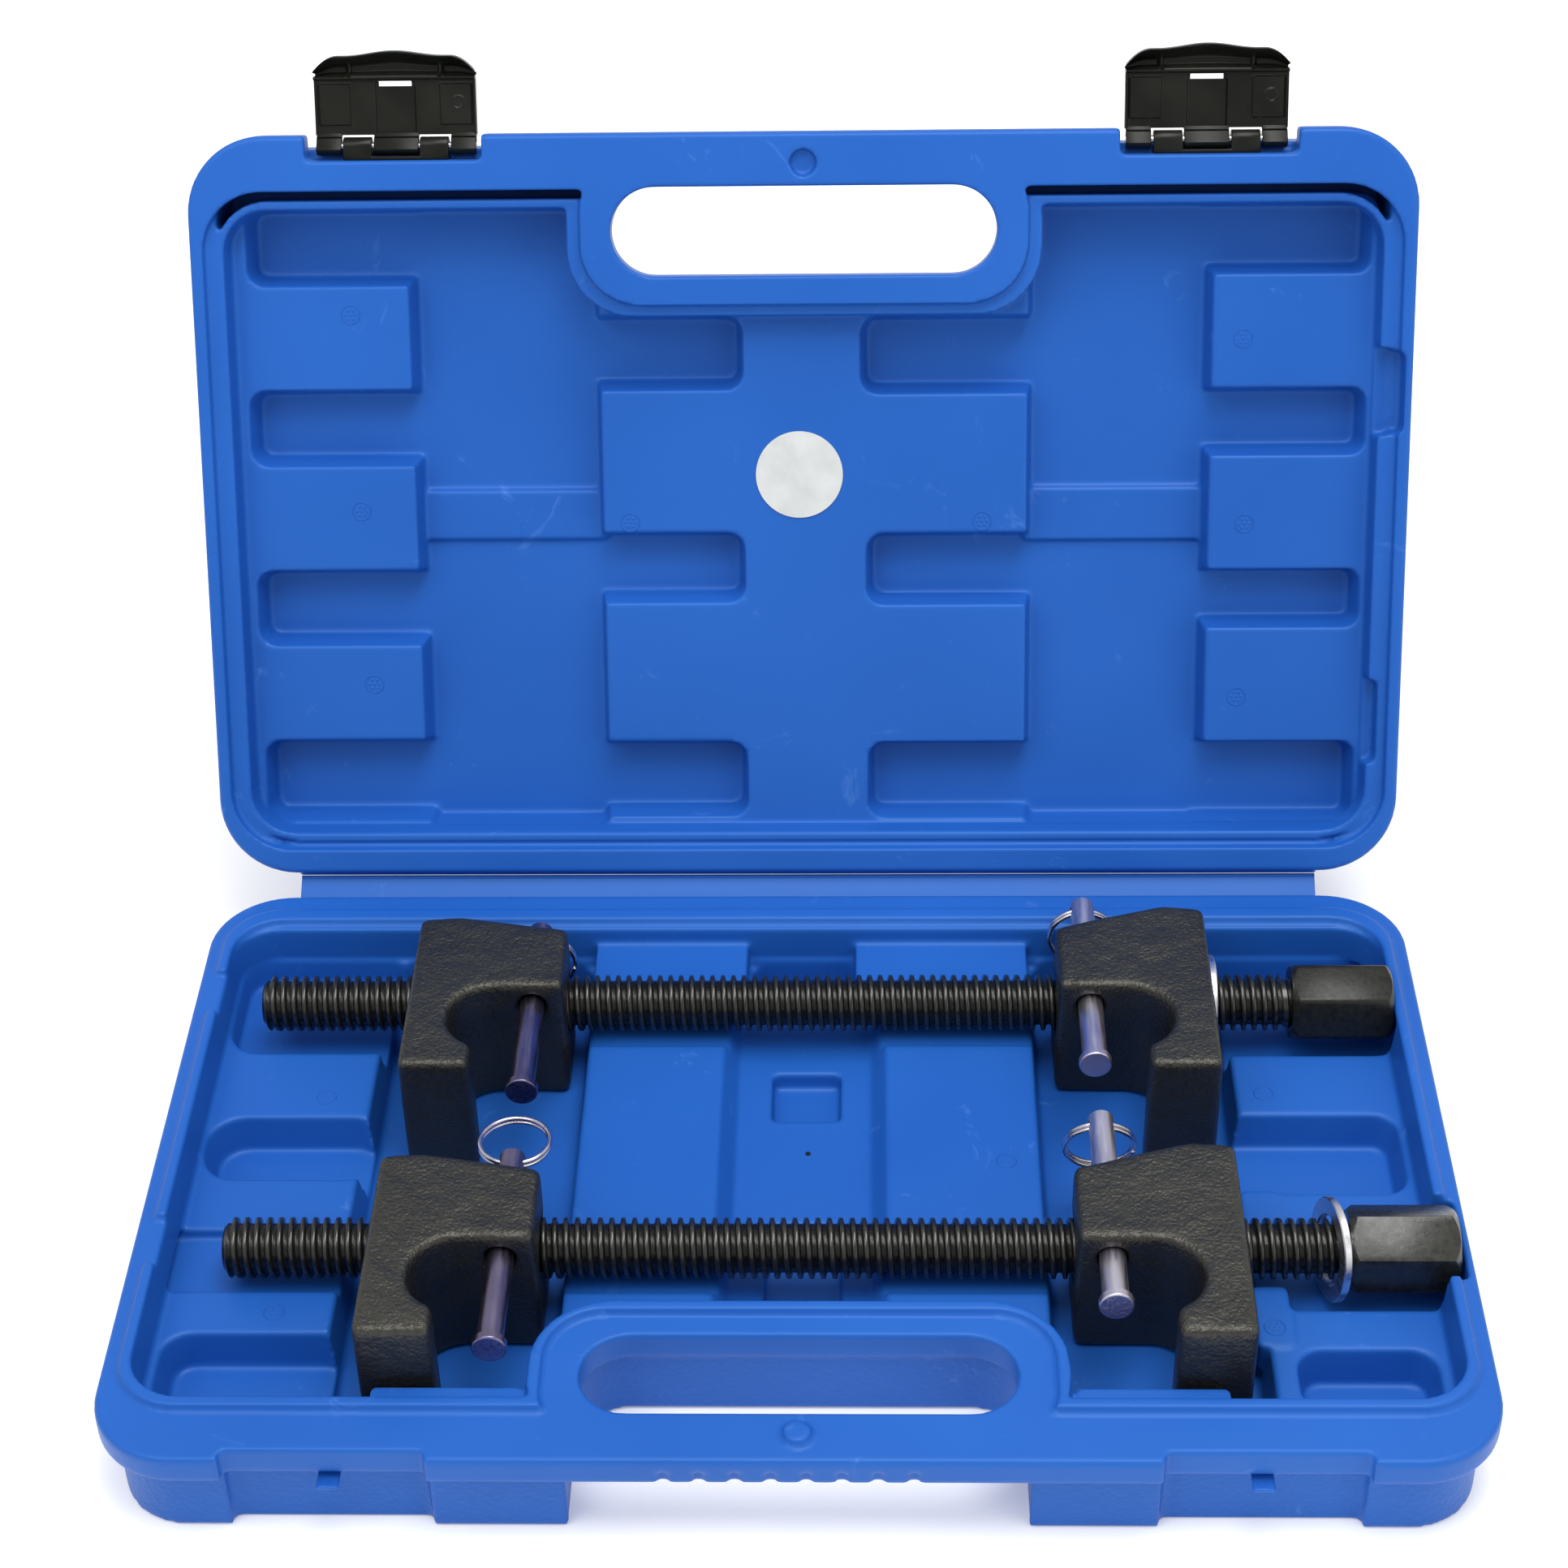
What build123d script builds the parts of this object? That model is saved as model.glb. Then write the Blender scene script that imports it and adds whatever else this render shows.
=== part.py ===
# Hinged plastic case, shown open, holding two spindles with a pair of jaws on each.
# X runs along the case (left is -X) and Y from the front (-Y) to the hinge at the back (+Y).
# The base stands on Z = 0. All sizes are in millimetres and angles in degrees.
from build123d import *
import os
from math import sin, cos, radians

os.makedirs("parts", exist_ok=True)

# ---------------------------------------------------------------- driving sizes
SIDES = (-1, 1)         # left, right

# Case, both halves
CASE_W = 407.0          # overall width, X
CASE_D = 252.3          # overall depth, Y
HALF_D = CASE_D / 2
HALF_H = 34.0           # foot to rim plane of the base
LID_H = 33.0            # outer face to rim plane of the lid
BAND_H = 10.0           # thick rim flange
INSET = 5.0             # wall set in below the flange
R_OUT = 26.0            # plan corner radius
FLOOR = 12.5            # general platform level below the rim plane
WALL = 2.5              # skin of the double-wall moulding
OVERLAP = 0.5           # how far added blocks bite into what carries them
RIM_FILLET = 1.6
TRAY_R = 15.0
TRAY_DRAFT = 6.0
BODY_SIZE = (CASE_W - 2 * INSET, CASE_D - 2 * INSET, R_OUT - INSET)   # width, depth, radius
NOTCH_X = 134.5         # centre of the latch recesses, either side

# Trays: centre across the depth, width, depth
BASE_TRAY_Y, BASE_TRAY_W, BASE_TRAY_D = 2.0, 389.2, 211.2
LID_TRAY_S, LID_TRAY_W, LID_TRAY_D = 121.0, 386.0, 215.0

# Grip opening with the island and the recess round it
GRIP_X = 1.0
SLOT_Y = -93.0
SLOT_L = 128.0
SLOT_W = 29.6
ISLAND_W, ISLAND_D = 158.0, 54.0
ISLAND_SHORT = 1.0      # islands stop this far inside the outer face
RECESS_W, RECESS_D, RECESS_R = 134.0, 57.0, 16.0
RECESS_Y, RECESS_S = -105.0, 231.5

# Sealing lip, the lid step that takes it, and the locating peg
LIP_H = 2.7
LIP_STEP = 3.2
PEG_R = 4.0
PEG_CLEAR = 0.4

# Hinge strip
CREASE_OUT = 2.5        # crease lines stand this far out from the back edge
STRIP = 8.0             # crease to crease
WEB_T = 1.2             # thickness of strip and lugs
LUG_ROOT = 3.0          # lugs start this far inside the edge
LUG_GAP = 0.9           # and stop this far short of the crease
LUG_L = 354.0
WEB_L = 353.0
OPEN_DEG = 113.3        # lid angle from closed

# Spindles
ROD_R = 9.3
ROD_LEN = 375.0         # overall, hex included
ROD_CHAMFER = 1.5
HEX_AF = 24.0
HEX_LEN = 33.0
ROD_Z = HALF_H - 4.0    # spindle axis height
FRONT_Y, REAR_Y = -39.0, 74.0
FRONT_X0, REAR_X0 = -175.5, -180.5   # left ends

# Jaws
JAW_H = 48.0
JAW_L = 50.0
LEFT_X, RIGHT_X = -103.0, 108.5
BORE_THREAD = 9.36      # bore radius of the threaded jaws
BORE_FREE = 9.8         # bore radius of the sliding jaws
CUT_LEN = 80.0          # length of the drilled cuts, centred on the jaw

# Locking pins and split rings
PIN_R = 4.0
PIN_BORE = 4.6
PIN_LEN = 80.0
PIN_HEAD_R, PIN_HEAD_T = 5.25, 2.5
PIN_Z = ROD_Z + 14.3
PIN_OFF = 14.5          # from the jaw centre towards the inner face
PIN_HOLE_R = 1.75       # cross hole for the ring
PIN_HOLE_BACK = 4.0     # from the pin's rear end to the cross hole
PIN_HOLE_CUT = 12.0
RING_R, RING_WIRE = 11.0, 1.1
RING_REACH = RING_R - 0.35   # ring centre from the cross hole

# Washers
WASH_R, WASH_T = 16.0, 2.5
WASH_Z = ROD_Z - 0.3

# Latches: LATCH_S, LATCH_D place the pivot in the lid frame
LATCH_X = 133.7
LATCH_S, LATCH_D = 248.5, -7.0
LATCH_W = 53.5
KNUCKLE_R = 3.0
MOUNT_W, MOUNT_GAP = 35.0, 16.0
MOUNT_BORE = 1.3
LATCH_PIN_R, LATCH_PIN_L = 1.22, 53.2
LEVER_BORE = 1.32
LEVER_Z = LATCH_D - 3.5   # outer face of the lever plate
CHEEK_H = 3.4

# ---------------------------------------------------------------- frames
BASE_TOP = Plane.XY.offset(HALF_H)
FLAT_TOP = Plane.XY       # rim plane of the lid while it is built flat
HALF_OPEN = radians(OPEN_DEG / 2)
OPEN = radians(OPEN_DEG)
# lower crease, upper crease, and the lid's rim-plane corner when open
LOWER_Y, LOWER_Z = HALF_D + CREASE_OUT, HALF_H - STRIP / 2
UPPER_Y = LOWER_Y + STRIP * sin(HALF_OPEN)
UPPER_Z = LOWER_Z + STRIP * cos(HALF_OPEN)
LID_Y = UPPER_Y - CREASE_OUT * cos(OPEN) - STRIP / 2 * sin(OPEN)
LID_Z = UPPER_Z + CREASE_OUT * sin(OPEN) - STRIP / 2 * cos(OPEN)
# lid frame: local x = X, local y = distance s from the hinge edge, local z = out of the rim plane
LID_TOP = Plane(origin=(0, LID_Y, LID_Z), x_dir=(1, 0, 0), z_dir=(0, -sin(OPEN), -cos(OPEN)))

# ---------------------------------------------------------------- pocket tables
# cut from the platform level: x0, x1, y0, y1, bottom below rim, corner radius, wall draft
BASE_POCKETS = [
    (-141.0, -71.5, -101.5, 105.4, 28.1, 7.0, 8.0),     # left jaw bay
    (76.0, 141.0, -101.5, 105.4, 28.1, 7.0, 8.0),       # right jaw bay
    (-192.0, -134.0, -0.5, 28.0, 25.0, 12.0, 12.0),     # left grip pockets
    (-191.0, -134.0, -95.0, -66.0, 25.0, 9.0, 12.0),
    (134.0, 191.5, -6.6, 29.0, 25.0, 8.0, 12.0),        # right grip pockets
    (148.0, 190.0, -95.0, -72.0, 25.0, 8.0, 12.0),
    (-192.3, -132.0, 59.0, 105.4, 21.0, 11.0, 9.0),     # left end of the rear spindle
    (132.0, 197.8, 57.5, 105.4, 21.5, 9.0, 9.0),        # rear hex bay
    (132.0, 200.9, -56.0, -21.5, 21.5, 3.0, 3.0),       # front hex bay
    (-197.5, -132.0, -48.8, -23.0, 16.0, 4.0, 6.0),     # front spindle channel, left end
    (-76.0, 80.0, -49.0, -24.0, 15.0, 1.5, 8.0),        # front spindle channel, middle
    (-76.0, 80.0, 62.5, 105.4, 15.0, 1.5, 8.0),         # rear spindle channel, middle
    (-26.5, 27.5, -61.0, 100.0, 20.0, 5.0, 35.0),       # centre trough
    (-18.5, 19.0, 82.0, 105.4, 24.0, 5.0, 6.0),         # deep notch at the back
    (-11.0, 13.3, 33.0, 57.0, 26.0, 3.0, 6.0),          # small deep pocket
    (-11.5, 14.0, -60.0, -12.0, 24.0, 6.0, 6.0),        # step towards the front
]
SOLID_BELOW = 24.5      # base pockets deeper than this have no void beneath them

# the same columns in the lid frame: x0, x1, s0, s1, depth, corner radius, draft
LID_POCKETS = [
    (-132.5, -68.5, 13.8, 228.0, 24.6, 4.0, 8.0),        # left column
    (76.0, 137.8, 13.8, 228.0, 24.6, 4.0, 8.0),          # right column
    (128.0, 190.0, 14.0, 43.5, 24.6, 5.0, 10.0),         # right side channels
    (128.0, 190.0, 83.5, 104.0, 24.6, 5.0, 10.0),
    (128.0, 190.0, 143.0, 166.0, 24.6, 5.0, 10.0),
    (128.0, 190.0, 204.0, 228.0, 24.6, 5.0, 10.0),
    (-187.0, -124.5, 202.0, 228.0, 24.6, 6.0, 10.0),     # left side pockets
    (-188.5, -124.5, 141.0, 167.0, 24.6, 6.0, 10.0),
    (-189.0, -124.5, 78.6, 105.0, 24.6, 6.0, 10.0),
    (-189.0, -124.5, 16.0, 45.0, 24.6, 6.0, 10.0),
    (-79.0, -20.0, 166.3, 191.5, 24.6, 6.0, 10.0),       # centre pockets
    (-79.3, -20.0, 93.2, 117.5, 24.6, 6.0, 10.0),
    (-79.5, -20.0, 17.0, 44.0, 24.6, 6.0, 10.0),
    (19.5, 86.0, 164.6, 191.0, 24.6, 6.0, 10.0),
    (21.3, 86.0, 92.0, 117.0, 24.6, 6.0, 10.0),
    (21.7, 86.0, 16.4, 43.8, 24.6, 6.0, 10.0),
]


# ---------------------------------------------------------------- helpers
def rounded_rect(width, depth, radius, *centres, mode=Mode.ADD):
    """Rounded rectangle at each centre, drawn in the sketch that is open."""
    with Locations(*centres):
        RectangleRounded(width, depth, radius, mode=mode)


def bounded_rect(x0, x1, y0, y1, radius, margin=0.0):
    """Rounded rectangle given by its bounds, grown all round by the margin."""
    rounded_rect(
        x1 - x0 + 2 * margin, y1 - y0 + 2 * margin, radius + margin,
        ((x0 + x1) / 2, (y0 + y1) / 2),
    )


def save(part, name):
    part.label = name
    export_step(part, f"parts/{name}.step")


# ---------------------------------------------------------------- void between the two skins
def make_void(rim, height, middle_y, recess_y, tray, pockets, solid_below, latch_y, latch_d):
    """Hollow of one case half; tray is centre y, width, depth."""
    slack = 3.0              # taken off the void, and added to the block round the recess
    guard_r = 18.0
    guard_h = height - 1.5
    latch_w = 66.0
    tray_y, tray_w, tray_d = tray
    with BuildPart() as void:
        with BuildSketch(rim.offset(-(height - WALL))):
            rounded_rect(
                BODY_SIZE[0] - 2 * WALL - slack, BODY_SIZE[1] - 2 * WALL - slack, R_OUT - 9,
                (0, middle_y),
            )
        extrude(amount=height - 2 * WALL)
        # stay solid round the grip recess, under the tray and round each pocket
        with BuildSketch(rim.offset(-guard_h)):
            rounded_rect(
                RECESS_W + 2 * WALL + 5, RECESS_D + 2 * WALL + slack, guard_r,
                (GRIP_X, recess_y),
            )
        extrude(amount=guard_h, mode=Mode.SUBTRACT)
        with BuildSketch(rim):
            rounded_rect(tray_w + 2 * WALL, tray_d + 2 * WALL, guard_r, (0, tray_y))
        extrude(amount=-(FLOOR + WALL), mode=Mode.SUBTRACT)
        for x0, x1, y0, y1, deep, radius, _ in pockets:
            bottom = height if deep > solid_below else deep + WALL
            with BuildSketch(rim.offset(-FLOOR)):
                bounded_rect(x0, x1, y0, y1, radius, margin=WALL)
            extrude(amount=-(bottom - FLOOR), mode=Mode.SUBTRACT)
        # and behind the latches
        for side in SIDES:
            with BuildSketch(rim.offset(-guard_h)):
                with Locations((side * NOTCH_X, latch_y)):
                    Rectangle(latch_w, latch_d)
            extrude(amount=guard_h, mode=Mode.SUBTRACT)
    return void.part


# ---------------------------------------------------------------- case base
def make_case_base():
    void = make_void(
        rim=BASE_TOP, height=HALF_H, middle_y=0, recess_y=RECESS_Y,
        tray=(BASE_TRAY_Y, BASE_TRAY_W, BASE_TRAY_D),
        pockets=BASE_POCKETS, solid_below=SOLID_BELOW, latch_y=-121, latch_d=20,
    )
    hex_bay_y = -38.7
    boss_w, boss_d, boss_r, boss_h = 11.0, 50.0, 4.0, 16.5
    notch_w = 59.0
    shelf_w, shelf_d, shelf_r, shelf_y, shelf_drop = 45.0, 9.0, 2.5, -101.5, 1.2
    ledge_y, ledge_d, ledge_r = 97.65, 23.3, 2.5
    ledge_foot, ledge_drop = 20.5, 6.0      # foot and top below the rim
    key_foot, key_r, key_rise = 22.5, 2.5, 0.8
    peg_y = -116.3
    catch_w, catch_t, catch_l = 7.0, 1.4, 9.0
    catch_root, catch_drop = 9.5, 13.0      # behind the front edge, below the rim
    groove_w, groove_d, groove_h = 3.6, 3.0, 5.0
    groove_x, groove_pitch, groove_count = -1.5, 10.2, 8

    with BuildPart() as base:
        with BuildSketch(BASE_TOP):
            RectangleRounded(CASE_W, CASE_D, R_OUT)
        extrude(amount=-BAND_H)
        fillet(base.edges().filter_by(Plane.XY), radius=RIM_FILLET)
        with BuildSketch(BASE_TOP.offset(-BAND_H + OVERLAP)):
            RectangleRounded(*BODY_SIZE)
        extrude(amount=-(HALF_H - BAND_H + OVERLAP))
        # boss on the right side wall that closes the front hex bay
        with BuildSketch(BASE_TOP.offset(-BAND_H + OVERLAP)):
            rounded_rect(boss_w, boss_d, boss_r, (198.0, hex_bay_y))
        extrude(amount=-boss_h)
        # set-back for the latches, deeper below the flange
        for side in SIDES:
            with BuildSketch(BASE_TOP):
                rounded_rect(notch_w, 7.8, 2, (side * NOTCH_X, -HALF_D))
            extrude(amount=-HALF_H, mode=Mode.SUBTRACT)
            with BuildSketch(BASE_TOP.offset(-BAND_H)):
                rounded_rect(notch_w, 17.0, 3, (side * NOTCH_X, -HALF_D))
            extrude(amount=-HALF_H, mode=Mode.SUBTRACT)
        # tray down to the platform level, then the pockets
        with BuildSketch(BASE_TOP):
            rounded_rect(BASE_TRAY_W, BASE_TRAY_D, TRAY_R, (0, BASE_TRAY_Y))
        extrude(amount=-FLOOR, mode=Mode.SUBTRACT, taper=TRAY_DRAFT)
        for x0, x1, y0, y1, deep, radius, draft in BASE_POCKETS:
            with BuildSketch(BASE_TOP.offset(-FLOOR)):
                bounded_rect(x0, x1, y0, y1, radius)
            extrude(amount=-(deep - FLOOR), mode=Mode.SUBTRACT, taper=draft)
        # island round the grip opening, and the two low shelves beside it
        with BuildSketch(BASE_TOP):
            rounded_rect(ISLAND_W, ISLAND_D, 24, (GRIP_X, SLOT_Y))
        extrude(amount=-(HALF_H - ISLAND_SHORT))
        with BuildSketch(BASE_TOP.offset(-FLOOR - OVERLAP)):
            rounded_rect(shelf_w, shelf_d, shelf_r, (-101, shelf_y), (103.5, shelf_y))
        extrude(amount=FLOOR + OVERLAP - shelf_drop)
        # recess behind the carrying bar, and the opening itself
        with BuildSketch(BASE_TOP.offset(-BAND_H)):
            rounded_rect(RECESS_W, RECESS_D, RECESS_R, (GRIP_X, RECESS_Y))
        extrude(amount=-HALF_H, mode=Mode.SUBTRACT)
        with BuildSketch(BASE_TOP):
            with Locations((GRIP_X, SLOT_Y)):
                SlotOverall(SLOT_L, SLOT_W)
        extrude(amount=-HALF_H, mode=Mode.SUBTRACT)
        # raised ledges behind the rear spindle
        with BuildSketch(BASE_TOP.offset(-ledge_foot)):
            rounded_rect(52.0, ledge_d, ledge_r, (-45.3, ledge_y))
            rounded_rect(58.4, ledge_d, ledge_r, (46.4, ledge_y))
        extrude(amount=ledge_foot - ledge_drop)
        # key blocks standing in the front hex bay
        with BuildSketch(BASE_TOP.offset(-key_foot)):
            rounded_rect(11.7, 25.0, key_r, (142.85, -59.0))
            rounded_rect(12.3, 25.2, key_r, (143.75, -18.4))
        extrude(amount=key_foot - FLOOR + key_rise)
        # clearance in the right side wall beside each hex: x, y, width, depth
        for x, y, width, depth in ((190, hex_bay_y, 21.8, 33), (185, REAR_Y, 21.6, 30)):
            with BuildSketch(BASE_TOP):
                rounded_rect(width, depth, 2, (x, y))
            extrude(amount=-FLOOR - 0.1, mode=Mode.SUBTRACT)
        # sealing lip round the tray, broken at the spindle ends
        with BuildSketch(BASE_TOP, mode=Mode.PRIVATE) as lip_inner:
            rounded_rect(BASE_TRAY_W, 214.1, 16, (0, 3.45))
            rounded_rect(ISLAND_W, ISLAND_D, 24, (GRIP_X, SLOT_Y), mode=Mode.SUBTRACT)
        with BuildSketch(BASE_TOP.offset(-OVERLAP)):
            rounded_rect(396.4, 223.9, 19, (0, 4.55))
            rounded_rect(150.4, 48.6, 18, (GRIP_X, -94), mode=Mode.SUBTRACT)
            add(lip_inner.sketch_local, mode=Mode.SUBTRACT)
            with Locations((196, hex_bay_y)):
                Rectangle(12, 33.6, mode=Mode.SUBTRACT)
            with Locations((-196, REAR_Y), (-196, -41)):
                Rectangle(12, 20, mode=Mode.SUBTRACT)
        extrude(amount=LIP_H)
        # locating peg on the bar
        with BuildSketch(BASE_TOP.offset(-OVERLAP)):
            with Locations((GRIP_X, peg_y)):
                Circle(PEG_R)
        extrude(amount=LIP_H)
        # latch catches
        for side in SIDES:
            with BuildSketch(Plane.XZ.offset(HALF_D - catch_root)):
                with Locations((side * LATCH_X, HALF_H - catch_drop)):
                    Rectangle(catch_w, catch_t)
            extrude(amount=catch_l)
        # back lug carrying the lower crease
        lug_y0, lug_y1 = HALF_D - LUG_ROOT, LOWER_Y - LUG_GAP
        with BuildSketch(Plane.YZ.offset(-LUG_L / 2)):
            with Locations(((lug_y0 + lug_y1) / 2, LOWER_Z)):
                Rectangle(lug_y1 - lug_y0, WEB_T)
        extrude(amount=LUG_L)
        # row of grooves cut up into the front edge of the bar
        with BuildSketch(BASE_TOP.offset(-BAND_H)):
            with GridLocations(groove_pitch, 1, groove_count, 1):
                with Locations((groove_x, -HALF_D)):
                    Rectangle(groove_w, groove_d)
        extrude(amount=groove_h, mode=Mode.SUBTRACT)
        add(void, mode=Mode.SUBTRACT)
    return base.part


# ---------------------------------------------------------------- case lid
def make_flat_lid():
    """The lid with its rim plane at zero and its outer face down."""
    void = make_void(
        rim=FLAT_TOP, height=LID_H, middle_y=HALF_D, recess_y=RECESS_S,
        tray=(LID_TRAY_S, LID_TRAY_W, LID_TRAY_D),
        pockets=LID_POCKETS, solid_below=LID_H, latch_y=246, latch_d=14,
    )
    notch_x, notch_s, notch_h = 134.2, 249.0, 10.8
    slot_s, slot_w = 220.1, 29.2
    rib_foot, rib_h = 25.0, 2.4
    # x0, x1, s0, s1
    ribs = ((-132.5, -68.5, 113.7, 131.0), (76.0, 137.8, 112.7, 131.0))
    relief_x0 = 185.0
    # x1, s0, s1, depth
    reliefs = ((197.4, 150.5, 180.0, 10.6), (200.7, 151.5, 179.0, 9.3), (195.8, 37.5, 67.0, 10.6))
    socket_s = 242.3

    with BuildPart() as lid:
        with BuildSketch(FLAT_TOP):
            rounded_rect(CASE_W, CASE_D, R_OUT, (0, HALF_D))
        extrude(amount=-BAND_H)
        fillet(lid.faces().sort_by(Axis.Z)[-1].edges(), radius=RIM_FILLET)
        with BuildSketch(FLAT_TOP.offset(-BAND_H + OVERLAP)):
            rounded_rect(*BODY_SIZE, (0, HALF_D))
        extrude(amount=-(LID_H - BAND_H + OVERLAP))
        # notches for the latches
        for side in SIDES:
            with BuildSketch(FLAT_TOP):
                rounded_rect(58.4, 10.0, 1.5, (side * notch_x, notch_s))
            extrude(amount=-notch_h, mode=Mode.SUBTRACT)
        # step that takes the sealing lip, the platform level, then the pockets
        with BuildSketch(FLAT_TOP):
            rounded_rect(397.8, 225.4, 20, (0, 121.4))
        extrude(amount=-LIP_STEP, mode=Mode.SUBTRACT)
        with BuildSketch(FLAT_TOP):
            rounded_rect(LID_TRAY_W, LID_TRAY_D, TRAY_R, (0, LID_TRAY_S))
        extrude(amount=-FLOOR, mode=Mode.SUBTRACT, taper=TRAY_DRAFT)
        for x0, x1, s0, s1, deep, radius, draft in LID_POCKETS:
            with BuildSketch(FLAT_TOP.offset(-FLOOR)):
                bounded_rect(x0, x1, s0, s1, radius)
            extrude(amount=-(deep - FLOOR), mode=Mode.SUBTRACT, taper=draft)
        # island round the grip opening: outer step, then full height
        with BuildSketch(FLAT_TOP.offset(-LIP_STEP)):
            rounded_rect(ISLAND_W, ISLAND_D, 22, (GRIP_X, 219))
        extrude(amount=-(LID_H - ISLAND_SHORT - LIP_STEP))
        with BuildSketch(FLAT_TOP):
            rounded_rect(148.8, 50.0, 20, (GRIP_X, 221))
        extrude(amount=-(LID_H - ISLAND_SHORT))
        with BuildSketch(FLAT_TOP.offset(-BAND_H)):
            rounded_rect(RECESS_W, RECESS_D, RECESS_R, (GRIP_X, RECESS_S))
        extrude(amount=-LID_H, mode=Mode.SUBTRACT)
        with BuildSketch(FLAT_TOP):
            with Locations((GRIP_X, slot_s)):
                SlotOverall(SLOT_L, slot_w)
        extrude(amount=-LID_H, mode=Mode.SUBTRACT)
        # low ribs across both columns, biting 0.5 into each side wall
        for x0, x1, s0, s1 in ribs:
            with BuildSketch(FLAT_TOP.offset(-rib_foot)):
                rounded_rect(x1 - x0 + 1, s1 - s0, 1.0, ((x0 + x1) / 2, (s0 + s1) / 2))
            extrude(amount=rib_h)
        # reliefs in the right side wall over the two hexes
        for x1, s0, s1, deep in reliefs:
            with BuildSketch(FLAT_TOP):
                bounded_rect(relief_x0, x1, s0, s1, 2.5)
            extrude(amount=-deep, mode=Mode.SUBTRACT)
        # socket for the locating peg
        with BuildSketch(FLAT_TOP):
            with Locations((GRIP_X, socket_s)):
                Circle(PEG_R + PEG_CLEAR)
        extrude(amount=-LIP_STEP, mode=Mode.SUBTRACT)
        # lug carrying the upper crease
        lug_s0, lug_s1 = LUG_GAP - CREASE_OUT, LUG_ROOT
        lug_plane = Plane(
            origin=(-LUG_L / 2, 0, -STRIP / 2), x_dir=(0, 1, 0), z_dir=(1, 0, 0)
        )
        with BuildSketch(lug_plane):
            with Locations(((lug_s0 + lug_s1) / 2, 0)):
                Rectangle(lug_s1 - lug_s0, WEB_T)
        extrude(amount=LUG_L)
        add(void, mode=Mode.SUBTRACT)
    return lid.part


def make_case_lid():
    """The flat lid swung up to its open position."""
    flat_lid = make_flat_lid()
    with BuildPart() as lid:
        add(flat_lid.moved(LID_TOP.location))
    return lid.part


def make_hinge_web():
    """Strip between the two creases."""
    strip_plane = Plane(
        origin=(-WEB_L / 2, LOWER_Y, LOWER_Z),
        x_dir=(0, sin(HALF_OPEN), cos(HALF_OPEN)),
        z_dir=(1, 0, 0),
    )
    with BuildPart() as web:
        with BuildSketch(strip_plane):
            with Locations((STRIP / 2, 0)):
                SlotOverall(STRIP + WEB_T, WEB_T)
        extrude(amount=WEB_L)
    return web.part


def make_blank_label():
    """Blank round label on the lid's platform level."""
    label_x, label_s, label_r, label_t = -1.3, 137.4, 14.8, 0.4
    with BuildPart() as disc:
        with BuildSketch(LID_TOP.offset(-FLOOR)):
            with Locations((label_x, label_s)):
                Circle(label_r)
        extrude(amount=label_t)
    return disc.part


# ---------------------------------------------------------------- latches
def latch_section(x):
    """Plane across a latch at x: local x is s, local y is height out of the lid's rim plane."""
    return Plane(
        origin=LID_TOP.from_local_coords((x, 0, 0)), x_dir=LID_TOP.y_dir, z_dir=(1, 0, 0)
    )


def make_latch_mount(latch_x):
    """Hinge base on the lid, with a gap for the lever's centre knuckle."""
    with BuildPart() as mount:
        with BuildSketch(latch_section(latch_x - MOUNT_W / 2)):
            with Locations((LATCH_S, LATCH_D)):
                Circle(KNUCKLE_R)
            with Locations((246.3, -7.3)):
                Rectangle(4.4, 6.6)
            with Locations((LATCH_S, LATCH_D)):
                Circle(MOUNT_BORE, mode=Mode.SUBTRACT)
        extrude(amount=MOUNT_W)
        with BuildSketch(latch_section(latch_x - MOUNT_GAP / 2)):
            with Locations((LATCH_S + 1.6, LATCH_D)):
                Rectangle(9.8, 8.0)
        extrude(amount=MOUNT_GAP, mode=Mode.SUBTRACT)
    return mount.part


def make_latch_pin(latch_x):
    with BuildPart() as pin:
        with BuildSketch(latch_section(latch_x - LATCH_PIN_L / 2)):
            with Locations((LATCH_S, LATCH_D)):
                Circle(LATCH_PIN_R)
        extrude(amount=LATCH_PIN_L)
    return pin.part


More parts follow.
